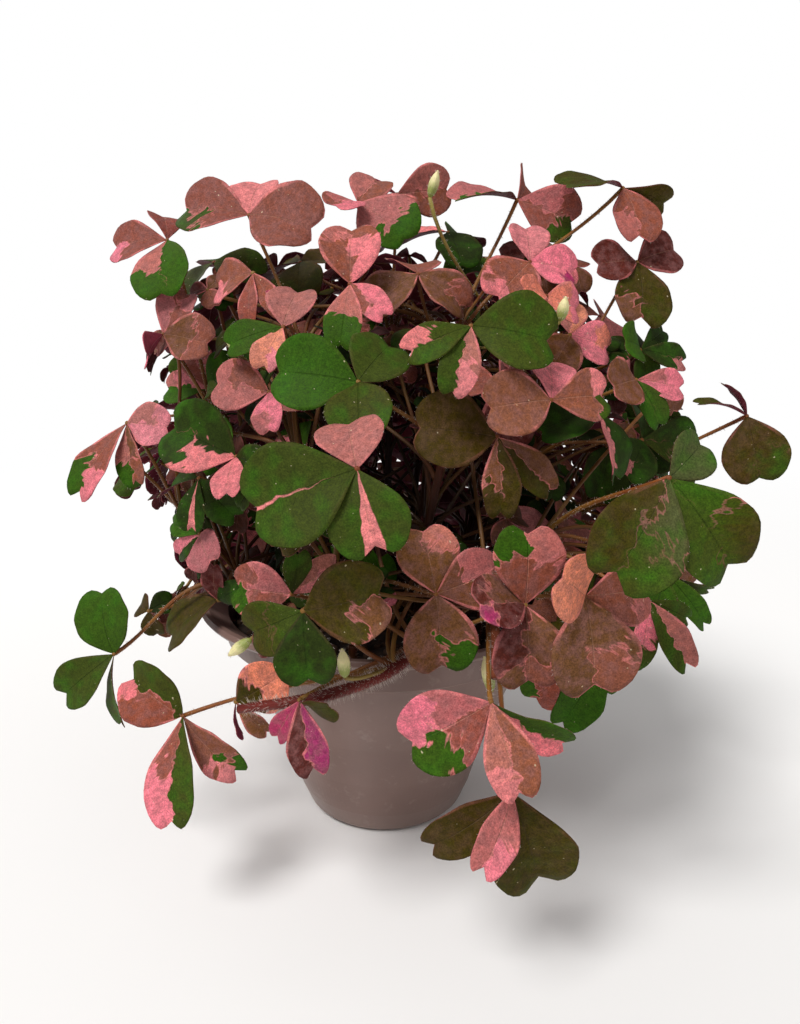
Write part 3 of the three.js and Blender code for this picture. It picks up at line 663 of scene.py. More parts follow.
@dataclass
class Growth:
    """Where every stem, stalk, leaf and bud of the plant stands."""

    row: SeededRow = field(default_factory=lambda: SeededRow(20261))
    stems: list[Stem] = field(default_factory=list)
    room: Room = field(default_factory=lambda: Room(ROOM_SEEN))
    missed: int = 0

    def grow(self) -> None:
        """Places the stems, then the leaves and buds in the order of the solids."""
        self._make_stems()
        for row in SEEN_LEAVES:
            self._place_seen(row)
        for row in BUDS:
            self._place_bud(row)
        for i, row in enumerate(LEAVES_BETWEEN):
            self._place_between(row, COMMON_LOOKS[(i * 5) % len(COMMON_LOOKS)])
        self._place_round()

    def _make_stems(self) -> None:
        """Makes the stems' lines and fills their room."""
        plans = []
        for foot_at, foot_r, top_at, top_r, top_z in UPRIGHT_STEMS:
            foot, top = polar(foot_at, foot_r, STEM_KNEE), polar(top_at, top_r, top_z)
            middle_z = STEM_KNEE + (top_z - STEM_KNEE) * 0.5
            middle = polar(top_at, foot_r + (top_r - foot_r) * 0.35, middle_z)
            plans.append(((foot[0], foot[1]), (middle, top), STEM_RADIUS, ()))
        plans.extend(TRAILING_STEMS)
        for number, (foot, way, radius, bears) in enumerate(plans):
            straight = [(foot[0], foot[1], z) for z in (STEM_FOOT, STEM_STRAIGHT, STEM_KNEE)]
            stem = Stem(tuple(foot), radius, bears, np.array([*straight, *way], float))
            self.stems.append(stem)
            line = np.array([stem.at(i / STEM_POINTS) for i in range(STEM_POINTS + 1)])
            self.room.put(line, Kind.STEM, number)

    @staticmethod
    def facing(hub: np.ndarray, out: float, up: float, front: float) -> np.ndarray:
        """Which way a leaf faces.

        Args:
            hub: Where its leaflets meet.
            out: Share of the way out from the mound.
            up: Share of the way up.
            front: Share of the way to the light at the front.

        Returns:
            A direction of length one.
        """
        outward = unit(np.array([hub[0], hub[1], (hub[2] - MOUND_Z) * 0.7]))
        return unit(outward * out + UP * up + np.array([0.0, -1.0, 0.0]) * front)

    @staticmethod
    def end_on_sight(hub: np.ndarray, normal: np.ndarray, size: float, tip: tuple) -> np.ndarray:
        """A leaflet's end on its sight line, in the leaf's plane where its length allows it.

        Args:
            hub: Where the leaflets meet.
            normal: The way that the leaf faces.
            size: The leaflet's usual length.
            tip: Picture place, and how far the end comes forward.

        Returns:
            The end.
        """
        near = tip[3] if len(tip) > 3 else 0
        eye, line = np.array(VIEW.eye), VIEW.line(tip[0], tip[1])
        slant = float(line @ normal)
        nearest = float((hub - eye) @ line) / float(line @ line)
        offset = math.sqrt(float(((eye + line * nearest - hub) ** 2).sum()))
        flat = float((hub - eye) @ normal) / slant if abs(slant) > 0.08 else nearest
        gap = math.sqrt(float(((eye + line * flat - hub) ** 2).sum()))
        wanted = min(max(gap, size * 0.8), size * 1.2)
        sign = -1 if flat < nearest else 1
        long = length_of(line)
        depth = math.sqrt(max(wanted * wanted - offset * offset, 0)) / long
        return eye + line * (nearest + sign * depth - near / long)

    def make_leaf(self, hub: np.ndarray, normal: np.ndarray, ends: list, looks: str) -> Leaf:
        """A leaf of three leaflets, no wider than the angle between neighbours allows.

        Args:
            hub: Where the leaflets meet.
            normal: The way that the leaf faces.
            ends: Each leaflet's end and roll in degrees.
            looks: The looks of the three, in the same order.

        Returns:
            The leaf, its leaflets in turn about the normal.
        """
        u = across(normal)
        v = np.cross(normal, u)
        parts = []
        for (end, roll), look in zip(ends, looks.split()):
            d = unit(end - hub)
            parts.append((math.atan2(float(d @ v), float(d @ u)), end, roll, d, look))
        parts.sort(key=lambda part: part[0])
        leaflets = []
        for i, (_, end, roll, d, look) in enumerate(parts):
            others = [parts[(i + 1) % 3][3], parts[(i + 2) % 3][3]]
            nearest = min(math.acos(min(float(d @ o), 1)) for o in others)
            width = min(0.95, math.tan(min(nearest, 2.4) / 2) * 0.97 / 0.78)
            fold = 0.12 + 0.22 * self.row.next()
            length = length_of(end - hub)
            n = unit(normal - d * (normal @ d))
            side = np.cross(n, d)
            if roll:
                n = turned(n, d, math.radians(roll))
                side = turned(side, d, math.radians(roll))
            slope = (0.97 if roll else 1.28) * math.tan(min(nearest, 2.4) / 2)
            leaflets.append(Leaflet(hub, d, n, side, length, width, fold, slope, look))
        return Leaf(hub, normal, leaflets)

    def _stalk_for(self, hub: np.ndarray, normal: np.ndarray, bearer: int) -> tuple | None:
        """The stem and the place on it that a leaf's stalk fits, the best length and lean first."""
        options = []
        for number, stem in enumerate(self.stems):
            if bearer not in (-1, number):
                continue
            for t in STALK_PLACES:
                start = stem.at(t)
                span = hub - start
                length = length_of(span)
                if not STALK_SHORTEST <= length <= STALK_LONGEST or start[2] < 73:
                    continue
                lean = float(unit(span) @ unit(np.array([hub[0], hub[1], 30.0])))
                cost = abs(length - STALK_USUAL) + 22 * (1 - lean) + len(stem.leaves) * 1.5
                options.append((cost, number, t))
        options.sort(key=lambda option: option[0])
        for _, number, t in options[:60]:
            stem = self.stems[number]
            petiole = stem.stalk_to(hub, normal, t)
            taken = any(
                abs(o.t - t) < 0.015 and np.linalg.norm(o.petiole.a - petiole.a) < 5
                for o in stem.leaves
            )
            if not taken and self.room.free(petiole.samples(), Kind.STALK, number):
                return number, t, petiole
        return None

    def _bearer_of(self, px: int, py: int) -> int:
        """The number of the stem that bears the leaf at a picture place, or -1."""
        for number, stem in enumerate(self.stems):
            if (px, py) in stem.bears:
                return number
        return -1

    def place(self, leaf: Leaf, bearer: int = -1) -> bool:
        """Places a leaf where there is room for its blades and stalk.

        Args:
            leaf: The leaf.
            bearer: The stem that bears it, or -1 for any.

        Returns:
            True if it was placed.
        """
        blades = leaf.samples()
        if not self.room.free(blades, Kind.BLADE):
            return False
        found = self._stalk_for(leaf.hub, leaf.normal, bearer)
        if found is None:
            return False
        number, leaf.t, leaf.petiole = found
        self.room.put(blades, Kind.BLADE, number)
        self.room.put(leaf.petiole.samples(), Kind.STALK, number)
        self.stems[number].leaves.append(leaf)
        return True

    def _place_seen(self, row: tuple) -> None:
        """Places one of the leaves that are seen."""
        px, py, depth, size, *tips, looks = row
        for shift in DEPTH_SHIFTS:
            hub = VIEW.at_depth(px, py, depth + shift)
            normal = self.facing(hub, *FACING_SEEN)
            ends = [
                (self.end_on_sight(hub, normal, size, tip), tip[2] if len(tip) > 2 else 0)
                for tip in tips
            ]
            if self.place(self.make_leaf(hub, normal, ends, looks), self._bearer_of(px, py)):
                return
        self.missed += 1

    def _place_bud(self, row: tuple) -> None:
        """Places a bud on a stalk of its own."""
        px, py, depth, tip_x, tip_y = row
        bearer = self._bearer_of(px, py)
        for shift in DEPTH_SHIFTS:
            hub = VIEW.at_depth(px, py, depth + shift)
            tip = VIEW.at_depth(tip_x, tip_y, depth + shift)
            normal = unit(tip - hub)
            points = np.array([hub + (tip - hub) * f for f in (0.1, 0.4, 0.7, 1)])
            if not self.room.free(points, Kind.BLADE):
                continue
            found = self._stalk_for(hub, normal, bearer)
            if found is None:
                continue
            self.room.put(points, Kind.BLADE, found[0])
            self.room.put(found[2].samples(), Kind.STALK, found[0])
            self.stems[found[0]].buds.append(Bud(hub, tip, normal, found[2]))
            return
        self.missed += 1

    @staticmethod
    def even_ends(
        hub: np.ndarray, normal: np.ndarray, size: float, turn: float, droop: float
    ) -> list[tuple[np.ndarray, float]]:
        """Three leaflets evenly round a leaf, drooping from its middle.

        Args:
            hub: Where the leaflets meet.
            normal: The way that the leaf faces.
            size: The leaflets' length.
            turn: Turn about the normal, in radians.
            droop: How far the leaflets hang from the leaf's plane, in radians.

        Returns:
            Each leaflet's end and roll.
        """
        u = across(normal)
        ends = []
        for i in range(3):
            flat = turned(u, normal, turn + i * 2 * math.pi / 3)
            d = flat * math.cos(droop) - normal * math.sin(droop)
            ends.append((hub + d * size, 0.0))
        return ends

    def _place_between(self, row: tuple, looks: str) -> None:
        """Places one of the leaves that are seen in part."""
        px, py, depth, size, turn = row
        for shift in DEPTH_SHIFTS:
            hub = VIEW.at_depth(px, py, depth + shift)
            normal = self.facing(hub, *FACING_BETWEEN)
            ends = self.even_ends(hub, normal, size, math.radians(turn), 0.45)
            if self.place(self.make_leaf(hub, normal, ends, looks)):
                return
        self.missed += 1

    def _mound_point(self, azimuth: float, rise: float, reach: float) -> np.ndarray:
        """A point of the mound by its direction, its rise from -1 to 1 and its share outwards."""
        level = math.sin(max(min(rise, 1), -1) * math.pi / 2)
        out = math.sqrt(1 - level * level) * MOUND_WIDE * reach
        height = MOUND_Z + level * (MOUND_HIGH if level > 0 else MOUND_LOW) * reach
        return np.array([out * math.cos(azimuth), out * math.sin(azimuth), height])

    def _place_round(self) -> None:
        """Places the leaves of the sides, the back and the top."""
        placed, nxt = 0, self.row.next
        self.room.gaps = ROOM_ROUND
        for i in range(ROUND_TRIES):
            if placed >= ROUND_LEAVES:
                break
            azimuth = math.pi / 2 + 4.8 * ((i * 0.618034) % 1 - 0.5) + 0.2 * nxt()
            rise, reach = nxt() * 1.25 - 0.25, 0.6 + 0.36 * nxt()
            size = (17 + 5 * nxt()) * (1 - 0.45 * i / ROUND_TRIES)
            turn, droop = 2.1 * nxt(), 0.3 + 0.4 * nxt()
            hub = self._mound_point(azimuth, rise, reach)
            normal = self.facing(hub, *FACING_ROUND)
            ends = self.even_ends(hub, normal, size, turn, droop)
            seen = VIEW.seen_at(np.array([end for end, _ in ends]))
            if any(l < x < r and t < y < b for x, y in seen for l, r, t, b in BARE):
                continue
            looks = COMMON_LOOKS[(placed * 3) % len(COMMON_LOOKS)]
            if self.place(self.make_leaf(hub, normal, ends, looks)):
                placed += 1

    def fill(self, wanted: int, tries: int, gaps_first: float, least: int) -> int:
        """Adds smaller leaves inside the mound and behind it, never before the leaves seen.

        Args:
            wanted: The most leaves to add.
            tries: The most places to try.
            gaps_first: Share of the tries that start from a gap in the view.
            least: The fewest open half cells of the nine about a gap.

        Returns:
            How many were added.
        """
        self.room.gaps = ROOM_INSIDE
        cover = Cover.of(self.room, [leaf for stem in self.stems for leaf in stem.leaves])
        own, added = SeededRow(4410 + wanted), 0
        gaps = cover.gaps(least)
        for i in range(tries):
            if added >= wanted:
                break
            size = (8 + 8 * own.next()) * (1 - 0.45 * gaps_first * i / tries)
            turn, droop = 2.1 * own.next(), 0.15 + 0.5 * own.next()
            pick, deep = own.next(), own.next()
            if own.next() < gaps_first and len(gaps):
                way = self._way_in(*gaps[int(pick * len(gaps))])
                if not len(way):
                    continue
                hub = way[int(math.sqrt(deep) * len(way))]
                normal = self.facing(hub, *(FACING_BACK_GAP if hub[1] > 12 else FACING_GAP))
                hub = hub * 1.6 - self.even_ends(hub, normal, size, turn, droop)[0][0] * 0.6
            else:
                rise, reach = own.next() * 1.4 - 0.4, 0.2 + 0.7 * deep
                hub = self._mound_point(2 * math.pi * pick, rise, reach)
                normal = self.facing(hub, *FACING_INSIDE)
            if self.depth_in(hub) > 1.0 or self.room.crowded(hub):
                continue
            ends = self.even_ends(hub, normal, size, turn, droop)
            rough = np.array([hub + (end - hub) * f for end, _ in ends for f in (0.4, 0.7, 1.0)])
            if np.hypot(rough[:, 0], rough[:, 1]).max() > 99 or not cover.behind(rough):
                continue
            if self.room.taken[self.room.cells(rough)].any():
                continue
            leaf = self.make_leaf(hub, normal, ends, HIDDEN_LOOKS[added % len(HIDDEN_LOOKS)])
            points = leaf.samples()
            if not cover.behind(points):
                continue
            # Hidden leaves are coarse and are painted a little darker, a painted shade.
            leaf.fine, leaf.shade = False, 0.9
            if self.place(leaf):
                added += 1
                cover.add(points)
                cover.add_close(leaf)
                gaps = cover.gaps(least)
        return added

    def _way_in(self, px: float, py: float) -> np.ndarray:
        """The part of a sight line that is inside the mound.

        Args:
            px: Pixels from the left.
            py: Pixels from the top.

        Returns:
            Points from near to far.
        """
        eye, line = np.array(VIEW.eye), VIEW.line(px, py)
        way = eye + ((np.arange(-40, 96, 3) - eye[1]) / line[1])[:, None] * line
        return way[self.depth_in(way) < 1.0]

    @staticmethod
    def depth_in(points: np.ndarray) -> Any:
        """How far out in the mound points are: 0 at its middle, 1 at its surface."""
        x, y, z = np.moveaxis(np.asarray(points), -1, 0)
        rise = (z - MOUND_Z) / np.where(z > MOUND_Z, MOUND_HIGH + 14, MOUND_LOW)
        return np.sqrt((x / MOUND_WIDE) ** 2 + (y / MOUND_WIDE) ** 2 + rise**2)


@dataclass
class Cover:
    """What the blades cover in the view, cell by cell, and how near the nearest is."""

    front: np.ndarray
    inside: np.ndarray
    filled: np.ndarray
    close: np.ndarray
    cell: int = 6

    @classmethod
    def of(cls, room: Room, leaves: list[Leaf]) -> Cover:
        """The cover of all blades placed so far.

        Args:
            room: The filled room.
            leaves: The leaves placed so far.

        Returns:
            The cover, its inside bounded by the outermost blades of each row and column.
        """
        shape = (1024 // cls.cell + 1, 800 // cls.cell + 1)
        close = np.zeros((shape[0] * 2, shape[1] * 2), bool)
        made = cls(np.full(shape, np.inf), np.zeros(shape, bool), np.zeros(shape, bool), close)
        for leaf in leaves:
            made.add_close(leaf)
        for points, kind, _ in room.blocks:
            if kind is Kind.BLADE:
                made.add(points)
        rows, columns = np.zeros(shape, bool), np.zeros(shape, bool)
        for r in range(shape[0]):
            hits = np.nonzero(made.filled[r])[0]
            if len(hits):
                rows[r, hits[0] : hits[-1] + 1] = True
        for c in range(shape[1]):
            hits = np.nonzero(made.filled[:, c])[0]
            if len(hits):
                columns[hits[0] : hits[-1] + 1, c] = True
        made.inside = rows & columns
        made.inside[int(640 / cls.cell) :] &= made.filled[int(640 / cls.cell) :]
        return made

    def _cells(self, points: np.ndarray) -> np.ndarray:
        """The row and column of each point's cell."""
        at = (VIEW.seen_at(points) / self.cell - 0.5).astype(int)[:, ::-1]
        return at.clip([1, 1], [self.front.shape[0] - 2, self.front.shape[1] - 2])

    def add(self, points: np.ndarray) -> None:
        """Adds a blade's points, each over its own cell and the next ones."""
        at = self._cells(points)
        for dr in (-1, 0, 1):
            for dc in (-1, 0, 1):
                np.minimum.at(self.front, (at[:, 0] + dr, at[:, 1] + dc), points[:, 1])
                if dr >= 0 and dc >= 0:
                    self.filled[at[:, 0] + dr, at[:, 1] + dc] = True

    def add_close(self, leaf: Leaf) -> None:
        """Marks the half cells that a leaf really covers."""
        seen = VIEW.seen_at(leaf.close_points(CLOSE_POINTS))
        grid = seen.reshape(-1, CLOSE_POINTS, CLOSE_POINTS, 2)
        p, q = grid[:, 1:, 1:] - grid[:, :-1, :-1], grid[:, :-1, 1:] - grid[:, 1:, :-1]
        area = np.abs(p[..., 0] * q[..., 1] - p[..., 1] * q[..., 0]).ravel() / 2
        middle = (grid[:, 1:, 1:] + grid[:, :-1, :-1]).reshape(-1, 2) / 2
        at = (middle * 2 / self.cell).astype(int)[:, ::-1]
        at = at.clip([0, 0], [self.close.shape[0] - 1, self.close.shape[1] - 1])
        covered = np.zeros(self.close.shape)
        np.add.at(covered, (at[:, 0], at[:, 1]), area)
        self.close |= covered > 0.45 * (self.cell / 2) ** 2

    def gaps(self, least: int) -> np.ndarray:
        """Places in the middle of the view where the background shows between the blades.

        Args:
            least: The fewest open half cells of the nine about a place.

        Returns:
            The places, in pixels.
        """
        open_ = np.repeat(np.repeat(self.inside, 2, 0), 2, 1) & ~self.close
        steps = [(i, j) for i in (-1, 0, 1) for j in (-1, 0, 1)]
        near = sum(np.roll(open_, step, (0, 1)).astype(int) for step in steps)
        at = (np.argwhere(open_ & (near >= least))[:, ::-1] + 0.5) * self.cell / 2
        low, high = (MIDDLE_LEFT, MIDDLE_TOP), (MIDDLE_RIGHT, MIDDLE_BOTTOM)
        return at[((at > low) & (at < high)).all(axis=1)]

    def behind(self, points: np.ndarray) -> bool:
        """Whether points stay inside the cover and behind the nearest blades."""
        at = self._cells(points)
        if not self.inside[at[:, 0], at[:, 1]].all():
            return False
        front = self.front[at[:, 0], at[:, 1]]
        return bool((points[:, 1] > np.where(np.isfinite(front), front + 3, -45)).all())


@dataclass
class Form:
    """A small master mesh, read once and copied many times."""

    verts: np.ndarray
    quads: np.ndarray
    tris: np.ndarray

    @staticmethod
    def take(obj: bpy.types.Object) -> Form:
        """Reads a modelled object and removes it.

        Args:
            obj: The object.

        Returns:
            Its vertices and faces.
        """
        mesh = obj.data
        verts = np.zeros(len(mesh.vertices) * 3)
        mesh.vertices.foreach_get("co", verts)
        quads = [tuple(p.vertices) for p in mesh.polygons if len(p.vertices) == 4]
        tris = [tuple(p.vertices) for p in mesh.polygons if len(p.vertices) == 3]
        bpy.data.objects.remove(obj)
        return Form(
            verts.reshape(-1, 3),
            np.array(quads, int).reshape(-1, 4),
            np.array(tris, int).reshape(-1, 3),
        )


class Bench:
    """The tools of the modelling bench, each a step as by hand."""

    @staticmethod
    def clear() -> None:
        """Deselects everything."""
        bpy.ops.object.select_all(action="DESELECT")

    @staticmethod
    def pick(obj: bpy.types.Object, test: Any) -> None:
        """Selects the vertices of the object in edit mode that pass a test.

        Args:
            obj: The object, in edit mode.
            test: A function of a vertex place that says whether it is picked.
        """
        bpy.ops.mesh.select_mode(type="VERT")
        bpy.ops.mesh.select_all(action="DESELECT")
        bpy.ops.object.mode_set(mode="OBJECT")
        for vertex in obj.data.vertices:
            vertex.select = bool(test(vertex.co))
        bpy.ops.object.mode_set(mode="EDIT")

    @staticmethod
    def pick_disc(obj: bpy.types.Object, z: float, reach: float) -> None:
        """Selects the vertices at a height that are within reach of the axis, in edit mode."""
        Bench.pick(obj, lambda co: abs(co.z - z) < 1e-5 and math.hypot(co.x, co.y) < reach)

    @staticmethod
    def face_out() -> None:
        """Turns every face outwards and leaves edit mode."""
        bpy.ops.mesh.select_all(action="SELECT")
        bpy.ops.mesh.normals_make_consistent(inside=False)
        bpy.ops.object.mode_set(mode="OBJECT")

    @staticmethod
    def apply(obj: bpy.types.Object) -> None:
        """Applies all of the object's modifiers."""
        bpy.context.view_layer.objects.active = obj
        for modifier in list(obj.modifiers):
            bpy.ops.object.modifier_apply(modifier=modifier.name)

    @staticmethod
    def lathe(profile: list[tuple[float, float]], sides: int, name: str) -> bpy.types.Object:
        """Draws a ring out and up along a profile, from its first point to its last.

        Args:
            profile: Radius and height of each ring, in metres.
            sides: Faces round.
            name: The object's name.

        Returns:
            The object, in object mode, its ends open.
        """
        Bench.clear()
        r, z = profile[0]
        bpy.ops.mesh.primitive_circle_add(vertices=sides, radius=r, location=(0, 0, z))
        obj = bpy.context.object
        obj.name = name
        bpy.ops.object.transform_apply(location=True)
        bpy.ops.object.mode_set(mode="EDIT")
        bpy.ops.mesh.select_all(action="SELECT")
        for nr, nz in profile[1:]:
            bpy.ops.mesh.extrude_edges_move(TRANSFORM_OT_translate={"value": (0, 0, nz - z)})
            size = nr / r
            bpy.ops.transform.resize(value=(size, size, 1), center_override=(0, 0, nz))
            r, z = nr, nz
        bpy.ops.object.mode_set(mode="OBJECT")
        return obj


@dataclass(frozen=True)
class LeafletForm:
    """The master leaflet: a heart with a narrow base, x sideways and y along, each in shares."""

    rows: int = 12
    columns: int = 12

    CORNER = 0.8
    HALF = (
        (0, 0.015), (0.0625, 0.09), (0.125, 0.17), (0.25, 0.3), (0.375, 0.392), (0.5, 0.452),
        (0.625, 0.484), (0.75, 0.494), (0.875, 0.478), (1, 0.43),
    )  # fmt: skip
    END = (
        (0, 0.93), (0.1, 0.95), (0.25, 0.982), (0.4, 0.997), (0.5, 0.992), (0.65, 0.968),
        (0.8, 0.922), (0.92, 0.866), (1, CORNER),
    )  # fmt: skip

    @classmethod
    def half(cls, u: float) -> float:
        """Half the width at a share of the length."""
        return float(np.interp(u, [p[0] for p in cls.HALF], [p[1] for p in cls.HALF]))

    @classmethod
    def end(cls, v: float) -> float:
        """How far the end reaches at a share sideways: two round lobes and a shallow notch."""
        return float(np.interp(abs(v), [p[0] for p in cls.END], [p[1] for p in cls.END]))

    def column(self, j: int) -> float:
        """The share sideways of a column, closer together towards the margins."""
        v = 2 * j / self.columns - 1
        return math.sin(v * math.pi / 2) * 0.55 + v * 0.45

    def make(self) -> Form:
        """Models the leaflet from a grid, row by row and column by column.

        Returns:
            The master mesh; z is 0.5 on the upper face and -0.5 on the lower.
        """
        Bench.clear()
        bpy.ops.mesh.primitive_grid_add(
            x_subdivisions=self.columns, y_subdivisions=self.rows, size=1, location=(0, 0.5, 0)
        )
        obj = bpy.context.object
        bpy.ops.object.transform_apply(location=True)
        bpy.ops.object.mode_set(mode="EDIT")
        for j in range(self.columns + 1):
            x = j / self.columns - 0.5
            Bench.pick(obj, lambda co, x=x: abs(co.x - x) < 1e-3 / self.columns)
            v = self.column(j)
            bpy.ops.transform.translate(value=(v * 10 - x, 0, 0))
            bpy.ops.transform.resize(value=(1, self.end(v), 1), center_override=(0, 0, 0))
        bpy.ops.object.mode_set(mode="OBJECT")
        bpy.ops.object.mode_set(mode="EDIT")
        reach = [self.end(self.column(j)) for j in range(self.columns + 1)]
        places = [self.column(j) * 10 for j in range(self.columns + 1)]
        for i in range(self.rows + 1):
            u = i / self.rows

            def on_row(co: Any, u: float = u) -> bool:
                """Whether a vertex is on the row."""
                return co.z < 1 and abs(co.y - u * float(np.interp(co.x, places, reach))) < 2e-3

            Bench.pick(obj, on_row)
            bpy.ops.transform.resize(value=(self.half(u) / 10, 1, 1), center_override=(0, 0, 0))
            bpy.ops.transform.translate(value=(0, 0, 5.0))
        bpy.ops.mesh.select_all(action="SELECT")
        bpy.ops.transform.translate(value=(0, 0, -5.0))
        bpy.ops.object.mode_set(mode="OBJECT")
        wall = obj.modifiers.new("thickness", "SOLIDIFY")
        wall.thickness, wall.offset = 1.0, 0.0
        Bench.apply(obj)
        return Form.take(obj)


@dataclass(frozen=True)
class TubeForm:
    """The master stalk: a closed tube from z 0 to 1 with a radius of one."""

    sides: int = 6
    rings: int = 12

    def make(self) -> Form:
        """Models the tube from a circle, drawn out ring by ring.

        Returns:
            The master mesh.
        """
        profile = [(1.0, i / self.rings) for i in range(self.rings + 1)]
        obj = Bench.lathe(profile, self.sides, "tube_form")
        bpy.ops.object.mode_set(mode="EDIT")
        bpy.ops.mesh.select_all(action="SELECT")
        bpy.ops.mesh.region_to_loop()
        bpy.ops.mesh.edge_face_add()
        bpy.ops.mesh.select_all(action="SELECT")
        bpy.ops.mesh.normals_make_consistent(inside=False)
        bpy.ops.mesh.quads_convert_to_tris()
        bpy.ops.object.mode_set(mode="OBJECT")
        return Form.take(obj)


@dataclass
class Basket:
    """Gathers copies of forms into one mesh, in millimetres until it is made."""

    verts: list[np.ndarray] = field(default_factory=list)
    quads: list[np.ndarray] = field(default_factory=list)
    tris: list[np.ndarray] = field(default_factory=list)
    quad_slots: list[np.ndarray] = field(default_factory=list)
    tri_slots: list[np.ndarray] = field(default_factory=list)
    facts: dict[str, list[np.ndarray]] = field(default_factory=dict)
    count: int = 0

    NAMES = ("blade", "share", "lay", "tone_lb", "tone_rb", "tone_lt", "tone_rt")

    def put(self, verts: np.ndarray, form: Form, slot: int, facts: dict[str, Any]) -> None:
        """Adds one copy, or several laid end to end, of a form.

        Args:
            verts: The placed vertices, a whole number of copies.
            form: The form that they come from.
            slot: Number of the material.
            facts: What each vertex carries for its finish, by name; a missing one is zero.
        """
        copies = len(verts) // len(form.verts)
        starts = (np.arange(copies) * len(form.verts) + self.count)[:, None, None]
        quads = (form.quads[None] + starts).reshape(-1, 4)
        tris = (form.tris[None] + starts).reshape(-1, 3)
        self.verts.append(verts)
        self.quads.append(quads)
        self.tris.append(tris)
        self.quad_slots.append(np.full(len(quads), slot))
        self.tri_slots.append(np.full(len(tris), slot))
        for name in self.NAMES:
            size = 4 if name.startswith("tone") else 3
            value = np.asarray(facts.get(name, np.zeros(size)), float)
            whole = np.broadcast_to(value, (len(verts), size))
            self.facts.setdefault(name, []).append(whole)
        self.count += len(verts)

    def make(self, name: str, finishes: list[bpy.types.Material]) -> bpy.types.Object:
        """Makes the object.

        Args:
            name: Its name.
            finishes: Its materials, in slot order.

        Returns:
            The object, in metres, smooth shaded.
        """
        verts = np.concatenate(self.verts) * MM
        quads, tris = np.concatenate(self.quads), np.concatenate(self.tris)
        mesh = bpy.data.meshes.new(name)
        mesh.vertices.add(len(verts))
        mesh.vertices.foreach_set("co", verts.ravel())
        corners = np.concatenate([quads.ravel(), tris.ravel()])
        starts = np.concatenate(
            [np.arange(len(quads)) * 4, len(quads) * 4 + np.arange(len(tris)) * 3]
        )
        mesh.loops.add(len(corners))
        mesh.loops.foreach_set("vertex_index", corners)
        mesh.polygons.add(len(starts))
        mesh.polygons.foreach_set("loop_start", starts)
        slots = np.concatenate([*self.quad_slots, *self.tri_slots])
        mesh.polygons.foreach_set("material_index", slots)
        for key in self.NAMES:
            kind = "FLOAT_COLOR" if key.startswith("tone") else "FLOAT_VECTOR"
            attribute = mesh.attributes.new(key, kind, "POINT")
            field_name = "color" if kind == "FLOAT_COLOR" else "vector"
            attribute.data.foreach_set(field_name, np.concatenate(self.facts[key]).ravel())
        mesh.update(calc_edges=True)
        mesh.validate()
        mesh.polygons.foreach_set("use_smooth", np.ones(len(mesh.polygons), bool))
        for finish in finishes:
            mesh.materials.append(finish)
        obj = bpy.data.objects.new(name, mesh)
        bpy.context.scene.collection.objects.link(obj)
        return obj


